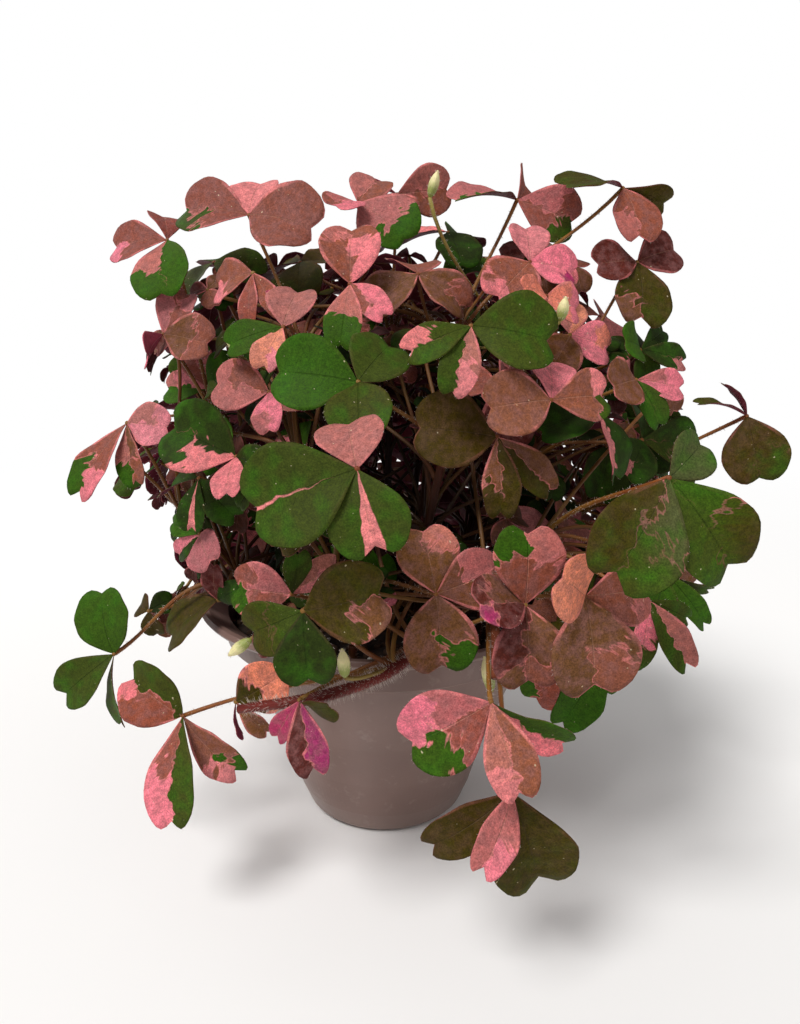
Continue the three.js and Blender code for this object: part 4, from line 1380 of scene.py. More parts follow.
class Sketch:
    """A short way to lay out a finish's nodes."""

    def __init__(self, name: str) -> None:
        """Starts a finish with an empty node tree.

        Args:
            name: The material's name.
        """
        self.material = bpy.data.materials.new(name)
        self.material.use_nodes = True
        self.tree = self.material.node_tree
        self.tree.nodes.clear()

    def node(self, kind: str, **settings: Any) -> bpy.types.Node:
        """Adds a node.

        Args:
            kind: The node's type, after ShaderNode.
            **settings: Its settings by name.

        Returns:
            The node.
        """
        made = self.tree.nodes.new(f"ShaderNode{kind}")
        for key, value in settings.items():
            setattr(made, key, value)
        return made

    def feed(self, socket: bpy.types.NodeSocket, value: Any) -> None:
        """Links a socket to another, or sets it to a value or to a colour's code."""
        if isinstance(value, bpy.types.NodeSocket):
            self.tree.links.new(value, socket)
        else:
            socket.default_value = tuple(linear(value)) if isinstance(value, str) else value

    def math(self, operation: str, *values: Any, clamp: bool = False) -> Any:
        """The result of a sum.

        Args:
            operation: The node's operation.
            *values: Sockets or numbers.
            clamp: Whether the result is held from 0 to 1.

        Returns:
            The output socket.
        """
        made = self.node("Math", operation=operation, use_clamp=clamp)
        for socket, value in zip(made.inputs, values):
            self.feed(socket, value)
        return made.outputs[0]

    def mix(self, share: Any, a: Any, b: Any) -> Any:
        """Mixes two colours.

        Args:
            share: How much of the second.
            a: The first colour, or its code.
            b: The second colour, or its code.

        Returns:
            The output socket.
        """
        made = self.node("Mix", data_type="RGBA", blend_type="MIX", clamp_factor=True)
        self.feed(made.inputs[0], share)
        self.feed(made.inputs[6], a)
        self.feed(made.inputs[7], b)
        return made.outputs[2]

    def between(self, value: Any, low: float, high: float, a: float = 0, b: float = 1) -> Any:
        """Maps a value from one range to another, held at its ends.

        Args:
            value: The value.
            low: Start of the first range.
            high: End of the first range.
            a: Start of the second range.
            b: End of the second range.

        Returns:
            The output socket.
        """
        made = self.node("MapRange", clamp=True)
        for socket, item in zip(made.inputs, (value, low, high, a, b)):
            self.feed(socket, item)
        return made.outputs[0]

    def noise(self, at: Any, scale: float, detail: float = 3, rough: float = 0.55) -> Any:
        """Noise at a place, from 0 to 1.

        Args:
            at: The place.
            scale: How fine it is.
            detail: How many finer layers it has.
            rough: How strong those are.

        Returns:
            The output socket.
        """
        made = self.node("TexNoise")
        self.feed(made.inputs["Vector"], at)
        for name, value in (("Scale", scale), ("Detail", detail), ("Roughness", rough)):
            made.inputs[name].default_value = value
        return made.outputs[0]

    def fact(self, name: str) -> bpy.types.Node:
        """The node that reads what the vertices carry under a name."""
        return self.node("Attribute", attribute_name=name)

    def carried(self, name: str) -> Any:
        """The three parts of a vector that the vertices carry under a name."""
        return self.parts(self.fact(name).outputs["Vector"])

    def apart(self, a: Any, b: Any) -> Any:
        """How far two colours are from each other."""
        made = self.node("VectorMath", operation="DISTANCE")
        self.feed(made.inputs[0], a)
        self.feed(made.inputs[1], b)
        return made.outputs["Value"]

    def scaled(self, colour: Any, value: Any) -> Any:
        """A colour times a number."""
        made = self.node("VectorMath", operation="SCALE")
        self.feed(made.inputs[0], colour)
        self.feed(made.inputs["Scale"], value)
        return made.outputs[0]

    def parts(self, vector: Any) -> Any:
        """The three parts of a vector."""
        made = self.node("SeparateXYZ")
        self.feed(made.inputs[0], vector)
        return made.outputs

    def place(self) -> Any:
        """The place on the object."""
        return self.node("TexCoord").outputs["Object"]

    def finish(self, colour: Any, rough: Any, height: Any, depth: float, **fixed: Any) -> Any:
        """Ends the finish in its shader.

        Args:
            colour: The base colour.
            rough: The roughness.
            height: The relief, or None.
            depth: The relief's depth in metres.
            **fixed: Values for the shader's own sockets, by name with _ for a blank.

        Returns:
            The material.
        """
        shader = self.node("BsdfPrincipled")
        self.feed(shader.inputs["Base Color"], colour)
        self.feed(shader.inputs["Roughness"], rough)
        for name, value in fixed.items():
            shader.inputs[name.replace("_", " ")].default_value = value
        if height is not None:
            bump = self.node("Bump")
            bump.inputs["Strength"].default_value = 0.6
            bump.inputs["Distance"].default_value = depth
            self.feed(bump.inputs["Height"], height)
            self.feed(shader.inputs["Normal"], bump.outputs[0])
        out = self.node("OutputMaterial")
        self.feed(out.inputs[0], shader.outputs[0])
        return self.material


@dataclass
class BladePlace:
    """What the leaf's finish reads at a place of a blade, as sockets."""

    blade: Any
    share: Any
    lay: Any
    wide: Any
    slant: Any
    stroke: Any
    streak: Any
    blot: Any
    grain: Any

    @classmethod
    def read(cls, k: Sketch) -> BladePlace:
        """Reads the place and the noises that several steps share.

        Args:
            k: The sketch.

        Returns:
            The place: along and across in millimetres, shares, and noises from 0 to 1.
        """
        blade = k.fact("blade").outputs["Vector"]
        across_mm, along, seed = k.parts(blade)
        wide = k.math("ABSOLUTE", across_mm)
        slant = k.math("SUBTRACT", along, k.math("MULTIPLY", wide, 0.75))
        stroke = k.node("CombineXYZ")
        parts = (slant, k.math("MULTIPLY", across_mm, 0.16), seed)
        for socket, value in zip(stroke.inputs, parts):
            k.feed(socket, value)
        return cls(
            blade=blade,
            share=k.carried("share"),
            lay=k.carried("lay"),
            wide=wide,
            slant=slant,
            stroke=stroke.outputs[0],
            streak=k.noise(stroke.outputs[0], 0.75, 1.6, 0.5),
            blot=k.noise(blade, 0.26, 1, 0.4),
            grain=k.noise(blade, 2.6, 4, 0.75),
        )


@dataclass(frozen=True)
class LeafFinish:
    """A leaf's skin: sectors of colour with jagged borders, pale veins and a rosy margin."""

    line: str = "e98482"
    vein: str = "c08c74"
    rib: str = "1c2810"
    fresh: str = "33600f"
    dust: str = "845a58"
    dot: str = "e6d4b0"
    under: str = "7c2444"
    under_vein: str = "c4788a"
    rough: float = 0.58

    def make(self) -> bpy.types.Material:
        """Makes the finish.

        Returns:
            The material.
        """
        k = Sketch("leaf_skin")
        at = BladePlace.read(k)
        below, _, shade = at.lay
        colour = self._sectors(k, at)
        hue = k.node("SeparateColor")
        k.feed(hue.inputs[0], colour)
        rosy = k.math("SUBTRACT", hue.outputs[0], hue.outputs[1])
        colour = self._margin(k, at, colour, rosy)
        lines = self._lines(k, at)
        ribs = k.mix(k.between(rosy, 0.0, 0.12), self.rib, self.vein)
        colour = k.mix(k.math("MULTIPLY", lines, 0.32), colour, ribs)
        colour = self._patches(k, at, colour, rosy)
        mottle = k.between(k.noise(at.blade, 0.8, 3), 0.3, 0.7, 0.8, 1.16)
        speck = k.math("MULTIPLY", mottle, k.between(at.grain, 0.3, 0.7, 0.52, 1.48))
        # Speckle and grain, times the painted shade carried in lay, darken the colour.
        grain_and_painted_shade = k.scaled(colour, k.math("MULTIPLY", speck, shade))
        under = k.mix(lines, self.under, self.under_vein)
        under = k.mix(0.35, under, grain_and_painted_shade)
        colour = k.mix(below, grain_and_painted_shade, under)
        height = k.math("SUBTRACT", k.math("MULTIPLY", at.grain, 0.35), lines)
        rough = k.between(at.grain, 0.3, 0.7, self.rough - 0.08, self.rough + 0.12)
        return k.finish(colour, rough, height, 0.0003, Specular_IOR_Level=0.08)

    def _sectors(self, k: Sketch, at: BladePlace) -> Any:
        """Lays the four tones of a leaflet, the stripe and the borders between the tones.

        Args:
            k: The sketch.
            at: The place on the blade.

        Returns:
            The colour.
        """
        w, s, _ = at.share
        by_side = k.math("ADD", w, k.between(at.blot, 0.2, 0.8, -0.14, 0.14))
        by_side = k.math("ADD", by_side, k.between(at.streak, 0.2, 0.8, -0.06, 0.06))
        by_tip = k.math("SUBTRACT", s, at.lay[1])
        by_tip = k.math("ADD", by_tip, k.between(at.streak, 0.25, 0.75, -0.1, 0.1))
        by_tip = k.math("ADD", by_tip, k.between(at.blot, 0.2, 0.8, -0.18, 0.18))
        tones = {n: k.fact(f"tone_{n}").outputs["Color"] for n in ("lb", "rb", "lt", "rt")}
        low = self._join(k, by_side, tones["rb"], tones["lb"])[0]
        high = self._join(k, by_side, tones["rt"], tones["lt"])[0]
        colour, tip = self._join(k, by_tip, low, high)
        reach = k.math("MULTIPLY", k.fact("tone_lb").outputs["Alpha"], k.math("ADD", s, 0.1))
        ragged = k.math("ADD", k.math("MULTIPLY", w, 0.84), k.math("MULTIPLY", by_side, 0.16))
        beside = k.math("SUBTRACT", k.math("ABSOLUTE", ragged), reach)
        colour = k.mix(k.between(beside, -0.02, -0.008, 1.0, 0.0), colour, self.line)
        right, left = k.mix(tip, tones["rb"], tones["rt"]), k.mix(tip, tones["lb"], tones["lt"])
        for value, reach, a, b in ((by_tip, 0.035, low, high), (by_side, 0.022, right, left)):
            line = k.between(k.math("ABSOLUTE", value), 0.0, reach, 0.6, 0.0)
            line = k.math("MULTIPLY", line, k.between(k.apart(a, b), 0.02, 0.1))
            colour = k.mix(line, colour, self.line)
        return colour

    def _margin(self, k: Sketch, at: BladePlace, colour: Any, rosy: Any) -> Any:
        """Adds the pale rosy margin, which the green parts hardly have.

        Args:
            k: The sketch.
            at: The place on the blade.
            colour: The colour so far.
            rosy: How much redder than green it is.

        Returns:
            The colour.
        """
        margin = k.between(at.share[2], 0.05, 0.42, 0.8, 0.0)
        margin = k.math("MULTIPLY", margin, k.between(k.noise(at.blade, 0.16, 1), 0.35, 0.6))
        margin = k.math("MULTIPLY", margin, k.between(rosy, 0.0, 0.1, 0.03, 1.0))
        return k.mix(margin, colour, self.line)

    @staticmethod
    def _lines(k: Sketch, at: BladePlace) -> Any:
        """Draws the slanting veins and the midrib.

        Args:
            k: The sketch.
            at: The place on the blade.

        Returns:
            How much of a vein there is.
        """
        warp = k.noise(at.stroke, 0.35, 2)
        bent = k.math("ADD", k.math("MULTIPLY", at.slant, 2.7), k.math("MULTIPLY", warp, 9))
        crest = k.between(k.math("SINE", bent), 0.8, 1.0)
        veins = k.math("MULTIPLY", crest, k.between(at.wide, 0.3, 5.0, 0.2, 0.03))
        fades = k.between(at.share[1], 0.6, 0.95, 1.0, 0.0)
        midrib = k.math("MULTIPLY", k.between(at.wide, 0.05, 0.22, 1.0, 0.0), fades)
        return k.math("MAXIMUM", veins, midrib)

    def _patches(self, k: Sketch, at: BladePlace, colour: Any, rosy: Any) -> Any:
        """Adds dusty patches to the rosy parts, fresh green to the green ones, and a few dots.

        Args:
            k: The sketch.
            at: The place on the blade.
            colour: The colour so far.
            rosy: How much redder than green it is.

        Returns:
            The colour.
        """
        dusty = k.between(k.noise(at.blade, 0.45, 3), 0.4, 0.62, 0.0, 0.42)
        dusty = k.math("MULTIPLY", dusty, k.between(rosy, 0.0, 0.06))
        colour = k.mix(dusty, colour, self.dust)
        outer = k.between(at.share[1], 0.3, 1.0, 0.0, 0.5)
        fresh = k.math("ADD", k.between(at.blot, 0.35, 0.75, -0.4, 0.5), outer)
        fresh = k.math("MULTIPLY", fresh, k.between(rosy, -0.01, 0.02, 0.75, 0.0), clamp=True)
        colour = k.mix(fresh, colour, self.fresh)
        dots = k.between(k.noise(at.blade, 1.2, 0), 0.84, 0.88, 0.0, 0.5)
        return k.mix(dots, colour, self.dot)

    @staticmethod
    def _join(k: Sketch, value: Any, a: Any, b: Any) -> tuple[Any, Any]:
        """Joins two tones, sharply where they differ much and softly where they are near.

        Args:
            k: The sketch.
            value: A value that is negative in the first tone's part.
            a: The first tone.
            b: The second tone.

        Returns:
            The joined colour and the share of the second tone.
        """
        sharp = k.between(k.apart(a, b), 0.03, 0.09)
        hard, soft = k.between(value, -0.013, 0.013), k.between(value, -0.25, 0.25)
        share = k.math("ADD", soft, k.math("MULTIPLY", sharp, k.math("SUBTRACT", hard, soft)))
        return k.mix(share, a, b), share


@dataclass(frozen=True)
class StalkFinish:
    """Stalks and stems: a lengthwise grain that goes from one tone to another."""

    blush: str = "7a2416"
    rough: float = 0.45

    def make(self) -> bpy.types.Material:
        """Makes the finish.

        Returns:
            The material.
        """
        k = Sketch("stalk_skin")
        blade = k.fact("blade").outputs["Vector"]
        _, s, _ = k.carried("share")
        _, _, shade = k.carried("lay")
        stretch = k.node("VectorMath", operation="MULTIPLY")
        k.feed(stretch.inputs[0], blade)
        stretch.inputs[1].default_value = (1.6, 0.25, 1.0)
        grain = k.noise(stretch.outputs[0], 1.4, 4, 0.6)
        colour = k.mix(s, k.fact("tone_lb").outputs["Color"], k.fact("tone_rb").outputs["Color"])
        blush = k.between(k.noise(blade, 0.12, 2), 0.45, 0.66, 0.0, 0.4)
        colour = k.mix(blush, colour, self.blush)
        dapple = k.between(grain, 0.3, 0.7, 0.72, 1.2)
        # The grain's dapple, times the painted shade carried in lay, darkens the colour.
        grain_and_painted_shade = k.scaled(colour, k.math("MULTIPLY", dapple, shade))
        return k.finish(grain_and_painted_shade, self.rough, grain, 0.0002, Specular_IOR_Level=0.3)


@dataclass(frozen=True)
class HairFinish:
    """The white hairs."""

    tone: str = "e9dfd6"
    dull: str = "cdb3a2"

    def make(self) -> bpy.types.Material:
        """Makes the finish.

        Returns:
            The material.
        """
        k = Sketch("hair_white")
        patch = k.noise(k.place(), 220, 2)
        colour = k.mix(k.between(patch, 0.3, 0.7), self.tone, self.dull)
        return k.finish(colour, 0.5, None, 0, Specular_IOR_Level=0.3)


@dataclass(frozen=True)
class BudFinish:
    """The flower buds: creamy with a green foot and fine ribs."""

    tip: str = "e6dca0"
    foot: str = "8f9a4a"
    flush: str = "c9937c"

    def make(self) -> bpy.types.Material:
        """Makes the finish.

        Returns:
            The material.
        """
        k = Sketch("bud_skin")
        _, s, _ = k.carried("share")
        grain = k.noise(k.fact("blade").outputs["Vector"], 1.8, 3)
        step = k.between(k.math("ADD", s, k.between(grain, 0.3, 0.7, -0.1, 0.1)), 0.25, 0.6)
        colour = k.mix(step, self.foot, self.tip)
        colour = k.mix(k.between(grain, 0.55, 0.75, 0, 0.4), colour, self.flush)
        return k.finish(colour, 0.5, grain, 0.0002)


@dataclass(frozen=True)
class PotFinish:
    """Moulded plastic, mauve grey, satin, with a faint sheen of handling."""

    tone: str = "83685f"
    dark: str = "6c544c"
    scuff: str = "a8988f"
    dust: str = "a99a91"

    def make(self) -> bpy.types.Material:
        """Makes the finish.

        Returns:
            The material.
        """
        k = Sketch("pot_plastic")
        place = k.place()
        _, _, z = k.parts(place)
        cloud = k.noise(place, 26, 3, 0.5)
        fine = k.noise(place, 900, 2, 0.6)
        colour = k.mix(k.between(cloud, 0.3, 0.7), self.tone, self.dark)
        low = k.between(z, 0.0, 0.012, 0.35, 0.0)
        colour = k.mix(k.math("MULTIPLY", low, cloud), colour, self.scuff)
        dust = k.math("MULTIPLY", k.between(k.noise(place, 160, 4, 0.7), 0.58, 0.75), 0.3)
        colour = k.mix(dust, colour, self.dust)
        rough = k.between(cloud, 0.3, 0.7, 0.3, 0.42)
        return k.finish(colour, rough, fine, 0.00004, Specular_IOR_Level=0.5)


@dataclass(frozen=True)
class MixFinish:
    """Potting mix: fibres and crumbs of two tones."""

    name: str
    dark: str
    light: str

    def make(self) -> bpy.types.Material:
        """Makes one of the mix's finishes.

        Returns:
            The material.
        """
        k = Sketch(self.name)
        place = k.place()
        crumb, fibre = k.noise(place, 420, 5, 0.7), k.noise(place, 90, 3)
        share = k.math("MULTIPLY", k.between(crumb, 0.3, 0.7), k.between(fibre, 0.25, 0.7, 0.4, 1))
        colour = k.mix(share, self.dark, self.light)
        return k.finish(colour, 0.92, crumb, 0.0006)


@dataclass
class Masters:
    """The master forms that the plant's pieces are copied from."""

    leaflet: Form
    small: Form
    stem: Form
    stalk: Form
    hair: Form
    hub: Form
    bud: Form

    @staticmethod
    def ball(detail: int) -> Form:
        """A small round master, flattened a little by its copies."""
        Bench.clear()
        bpy.ops.mesh.primitive_ico_sphere_add(subdivisions=detail, radius=1)
        return Form.take(bpy.context.object)

    @staticmethod
    def spike() -> Form:
        """A three sided hair from z 0 to 1."""
        Bench.clear()
        bpy.ops.mesh.primitive_cone_add(
            vertices=3, radius1=1, depth=1, location=(0, 0, 0.5), end_fill_type="NGON"
        )
        obj = bpy.context.object
        bpy.ops.object.transform_apply(location=True)
        return Form.take(obj)

    @staticmethod
    def teardrop() -> Form:
        """A bud from z 0 to 1: a ball drawn out to a point; its copies get ribs along it."""
        Bench.clear()
        bpy.ops.mesh.primitive_uv_sphere_add(segments=15, ring_count=10, radius=1)
        obj = bpy.context.object
        bpy.ops.object.mode_set(mode="EDIT")
        bpy.ops.mesh.select_all(action="SELECT")
        bpy.ops.transform.resize(value=(1, 1, 0.5), center_override=(0, 0, 0))
        bpy.ops.transform.translate(value=(0, 0, 0.5))
        for z, size in ((0.6, 0.93), (0.75, 0.84), (0.88, 0.74)):
            Bench.pick(obj, lambda co, z=z: co.z > z)
            bpy.ops.transform.resize(value=(size, size, 1), center_override=(0, 0, 0))
        bpy.ops.object.mode_set(mode="OBJECT")
        obj.modifiers.new("faces", "TRIANGULATE")
        Bench.apply(obj)
        return Form.take(obj)

    @classmethod
    def model(cls) -> Masters:
        """Models every master form.

        Returns:
            The forms.
        """
        return cls(
            leaflet=LeafletForm().make(),
            small=LeafletForm(rows=8, columns=6).make(),
            stem=TubeForm(sides=9, rings=44).make(),
            stalk=TubeForm(sides=6, rings=14).make(),
            hair=cls.spike(),
            hub=cls.ball(2),
            bud=cls.teardrop(),
        )


LEAF, STALK, HAIR, BUD = range(4)


@dataclass
class LeafyStem:
    """One stem with all that grows from it, one piece."""

    number: int
    stem: Stem
    masters: Masters
    basket: Basket = field(default_factory=Basket)
    chance: np.random.Generator = field(init=False)
    hair_radius: float = 0.05
    blade_thickness: float = 0.36
    blade_edge_hairs: int = 12
    blade_end_hairs: int = 6

    HAIRY_FROM = 0.62
    STALK_RADII = (0.95, 0.62, 0.58, 0.55, 0.52, 0.5, 0.55, 0.62)
    BUD_STALK_RADII = (0.7, 0.55, 0.5, 0.5, 0.6)
    STEM_SWELLS = (1, 1, 1, 0.97, 0.93, 1.05, 0.9, 0.95, 0.7)
    STRIPES = {"w": 0.14, "n": 0.03}

    def __post_init__(self) -> None:
        """Seeds this stem's own chance."""
        self.chance = np.random.default_rng(900 + self.number)

    def build(self) -> None:
        """Gathers the stem, its leaves, buds and hairs."""
        self._add_stem()
        for leaf in self.stem.leaves:
            self._add_leaf(leaf)
        for bud in self.stem.buds:
            self._add_bud(bud)

    def _tube(self, form: Form, at: Any, radii: tuple[float, ...], facts: dict[str, Any]) -> tuple:
        """Bends a tube form along a line.

        Args:
            form: The tube.
            at: A function from shares to points.
            radii: Radius at even shares of the way.
            facts: What the vertices carry, besides their place along.

        Returns:
            Shares, centres and two directions across for each of the rings.
        """
        levels = np.unique(np.round(form.verts[:, 2], 6))
        centres = at(levels)
        ahead = np.gradient(centres, axis=0)
        ahead /= np.linalg.norm(ahead, axis=1)[:, None]
        u = unit(np.cross(ahead[0], np.array([0.31, 0.87, 0.2])))
        us = []
        for direction in ahead:
            u = unit(u - direction * (u @ direction))
            us.append(u)
        us = np.array(us)
        vs = np.cross(ahead, us)
        ring = np.searchsorted(levels, form.verts[:, 2] - 1e-5)
        wide = np.interp(levels, np.linspace(0, 1, len(radii)), radii)
        x, y = form.verts[:, 0] * wide[ring], form.verts[:, 1] * wide[ring]
        verts = centres[ring] + x[:, None] * us[ring] + y[:, None] * vs[ring]
        length = np.linalg.norm(np.diff(centres, axis=0), axis=1).sum()
        seed = self.chance.random() * 50
        blade = np.stack([form.verts[:, 0] * 3, levels[ring] * length, np.full(len(x), seed)], 1)
        share = np.stack([form.verts[:, 1], levels[ring], np.zeros(len(x))], 1)
        lay = np.zeros((len(x), 3))
        # Painted shade: the stalk's colour is darkened deep inside the mound.
        lay[:, 2] = facts["lay"][2] * self.painted_depth_shade(verts)
        whole = {"blade": blade, "share": share, **facts, "lay": lay}
        self.basket.put(verts, form, STALK, whole)
        return levels, centres, us, vs, wide, length

    @staticmethod
    def painted_depth_shade(points: np.ndarray) -> Any:
        """The painted shade of a stalk or hidden leaf: darker and browner towards the mound's
        middle, where shade falls.
        """
        return np.interp(Growth.depth_in(points), [0.35, 0.9], [0.16, 1.0])

    def _tube_hairs(self, tube: tuple, per_mm: float, length: float) -> None:
        """Sets hairs round a tube.

        Args:
            tube: What _tube returned.
            per_mm: Hairs for each millimetre of the way.
            length: Their usual length.
        """
        levels, centres, us, vs, wide, long = tube
        count = int(long * per_mm)
        t = np.sort(self.chance.random(count)) * 0.97 + 0.015
        angle = self.chance.random(count) * 2 * math.pi

        def on(values: np.ndarray) -> np.ndarray:
            """Values of the rings, read at the hairs' places."""
            return np.stack([np.interp(t, levels, values[:, i]) for i in range(3)], 1)

        out = on(us) * np.cos(angle)[:, None] + on(vs) * np.sin(angle)[:, None]
        ahead = np.cross(on(us), on(vs))
        feet = on(centres) + out * (np.interp(t, levels, wide) * 0.9)[:, None]
        lean = out + ahead * (self.chance.random(count) * 0.5 - 0.1)[:, None]
        lengths = length * (0.6 + 0.6 * self.chance.random(count))
        outer = Growth.depth_in(feet) > self.HAIRY_FROM
        self._hairs(feet[outer], lean[outer], lengths[outer])

    def _hairs(
        self, feet: np.ndarray, ways: np.ndarray, lengths: np.ndarray, thin: float = 1
    ) -> None:
        """Adds hairs.

        Args:
            feet: Where each starts.
            ways: Which way each points.
            lengths: How long each is.
            thin: Their radius as a share of the usual one.
        """
        if not len(feet):
            return
        ways = ways / np.linalg.norm(ways, axis=1)[:, None]
        u = np.cross(ways, np.array([0.3, 0.5, 0.81]))
        u /= np.maximum(np.linalg.norm(u, axis=1), 1e-6)[:, None]
        v = np.cross(ways, u)
        form = self.masters.hair.verts
        verts = (
            feet[:, None]
            + u[:, None] * (form[:, 0] * self.hair_radius * thin)[None, :, None]
            + v[:, None] * (form[:, 1] * self.hair_radius * thin)[None, :, None]
            + ways[:, None] * (form[:, 2][None] * lengths[:, None])[:, :, None]
        )
        self.basket.put(verts.reshape(-1, 3), self.masters.hair, HAIR, {})

    def _add_stem(self) -> None:
        """Adds the main stem, a little thinner at its top, and its hairs."""
        stem = self.stem

        def line(t: np.ndarray) -> np.ndarray:
            """Points of the stem's line."""
            return np.array([stem.at(float(x)) for x in t])

        thick = stem.radius > 1.5
        low, high = ("7a2012", "5c160e") if thick else ("5a4020", "74381e")
        facts = {"tone_lb": linear(low), "tone_rb": linear(high), "lay": (0, 0, 1.0)}
        radii = tuple(stem.radius * swell for swell in self.STEM_SWELLS)
        tube = self._tube(self.masters.stem, line, radii, facts)
        self._tube_hairs(tube, 30 if thick else 4, 1.9 if thick else 1.0)

    def _add_leaf(self, leaf: Leaf) -> None:
        """Adds a leaf: its stalk, the knob at its top and its three leaflets."""
        seed = float(self.chance.random())
        golden, rosy = linear("94702c"), linear("84401f")
        low = golden * (1 - seed) + rosy * seed
        high = rosy * (1 - seed) + golden * seed
        shade = leaf.shade
        facts = {"tone_lb": low, "tone_rb": high, "lay": (0, 0, shade)}
        tube = self._tube(self.masters.stalk, leaf.petiole.at, self.STALK_RADII, facts)
        if leaf.fine:
            self._tube_hairs(tube, 3.2, 0.8)
        form = self.masters.hub.verts
        u = unit(np.cross(leaf.normal, np.array([0.2, 0.3, 0.93])))
        v = np.cross(leaf.normal, u)
        axes = np.stack([u * 0.66, v * 0.66, leaf.normal * 0.42])
        hub = leaf.hub + form @ axes
        # The knob is painted darker than its leaf, a painted shade under the leaflets.
        facts = {"tone_lb": high, "tone_rb": high, "lay": (0, 0, shade * 0.8)}
        self.basket.put(hub, self.masters.hub, STALK, {"blade": form * 2, **facts})
        for leaflet in leaf.leaflets:
            self._add_leaflet(leaflet, leaf)

    def _add_leaflet(self, leaflet: Leaflet, leaf: Leaf) -> None:
        """Adds one blade and the hairs of its margin."""
        form = self.masters.leaflet if leaf.fine else self.masters.small
        seed = float(self.chance.random())
        # Hidden leaves take a painted shade that darkens them deep inside the mound.
        shade = leaf.shade if leaf.fine else leaf.shade * float(self.painted_depth_shade(leaf.hub))
        s, w, z = form.verts[:, 1], -form.verts[:, 0], form.verts[:, 2]
        half = np.array([LeafletForm.half(float(min(max(x, 0), 1))) for x in s])
        inner = np.clip(1 - np.abs(w) / np.maximum(half, 1e-3), 0, 1)
        sideways = np.clip(w / np.maximum(half, 1e-3), -1, 1)
        end = np.array([LeafletForm.end(float(v)) for v in sideways])
        rim = np.minimum(inner * half * leaflet.width, np.maximum(end - s, 0)) * leaflet.length
        thick = self.blade_thickness * np.clip(0.45 + rim * 0.5, 0.4, 1.0)
        verts = leaflet.fine(s, w, z * thick, seed)
        looks = leaflet.looks[:4] if len(leaflet.looks) > 1 else leaflet.looks * 4
        stripe = self.STRIPES.get(leaflet.looks[-1], 0.0)
        vary = 1 + 0.22 * (self.chance.random(3) - 0.5)
        tones = [np.append(linear(Tone[letter].value)[:3] * vary, stripe) for letter in looks]
        long = leaflet.length
        blade = np.stack([w * leaflet.width * long, s * long, np.full(len(s), seed * 60)], 1)
        border = 0.48 + 0.28 * float(self.chance.random())
        lay = np.stack([(z < 0) * 1.0, np.full(len(s), border), np.full(len(s), shade)], 1)
        self.basket.put(
            verts, form, LEAF,
            {
                "blade": blade, "share": np.stack([w, s, rim], 1), "lay": lay,
                "tone_lb": tones[0], "tone_rb": tones[1], "tone_lt": tones[2], "tone_rt": tones[3],
            },
        )  # fmt: skip
        if leaf.fine:
            self._margin_hairs(leaflet, seed)

    def _margin_hairs(self, leaflet: Leaflet, seed: float) -> None:
        """Sets short hairs along a blade's margin."""
        edge, tip = self.blade_edge_hairs, self.blade_end_hairs
        u = np.concatenate([0.25 + 0.75 * self.chance.random(edge), np.ones(tip)])
        side = np.where(self.chance.random(edge) < 0.5, -1.0, 1.0)
        v = np.concatenate([side, self.chance.random(tip) * 2 - 1])
        half = np.array([LeafletForm.half(float(x)) for x in u])
        reach = np.array([LeafletForm.end(float(x)) for x in v])
        s, w = u * reach, v * half
        flat = np.zeros_like(s)
        feet = leaflet.fine(s, w, flat, seed)
        inside = leaflet.fine(s * 0.93, w * 0.9, flat, seed)
        wild = (self.chance.random((len(s), 3)) - 0.5) * 0.8
        ways = feet - inside
        ways /= np.linalg.norm(ways, axis=1)[:, None]
        self._hairs(feet, ways + wild, 0.3 + 0.35 * self.chance.random(len(s)), 0.6)

    def _add_bud(self, bud: Bud) -> None:
        """Adds a bud and its stalk."""
        facts = {"tone_lb": linear("8c6a34"), "tone_rb": linear("9a8a44"), "lay": (0, 0, 1.0)}
        tube = self._tube(self.masters.stalk, bud.petiole.at, self.BUD_STALK_RADII, facts)
        self._tube_hairs(tube, 5, 0.9)
        form = self.masters.bud.verts
        span = bud.tip - bud.hub
        u = unit(np.cross(bud.normal, np.array([0.2, 0.9, 0.1])))
        v = np.cross(bud.normal, u)
        angle = np.arctan2(form[:, 1], form[:, 0])
        ribs = 1.45 * (1 - 0.1 * np.cos(5 * angle))
        verts = (
            bud.hub - span * 0.06
            + (form[:, 0] * ribs)[:, None] * u
            + (form[:, 1] * ribs)[:, None] * v
            + (form[:, 2] * 1.06)[:, None] * span
        )  # fmt: skip
        share = np.stack([form[:, 0], form[:, 2], form[:, 1]], 1)
        facts = {"blade": form * 4, "share": share, "lay": (0, 0, 1.0)}
        self.basket.put(verts, self.masters.bud, BUD, facts)
        out = form * np.array([1, 1, 0])
        pick = np.nonzero(np.linalg.norm(out, axis=1) > 0.3)[0][::2]
        ways = out[pick, 0][:, None] * u + out[pick, 1][:, None] * v + bud.normal * 0.5
        self._hairs(verts[pick], ways, np.full(len(pick), 0.7))

    def dress(self, finishes: list[bpy.types.Material]) -> bpy.types.Object:
        """Makes the piece and puts it in the place of its solid.

        Args:
            finishes: The materials of blades, stalks, hairs and buds.

        Returns:
            The piece.
        """
        name = f"leafy_stem_{self.number:02d}"
        obj = self.basket.make(name, finishes)
        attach(obj, "root")
        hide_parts(f"stem_{self.number:02d}")
        return obj


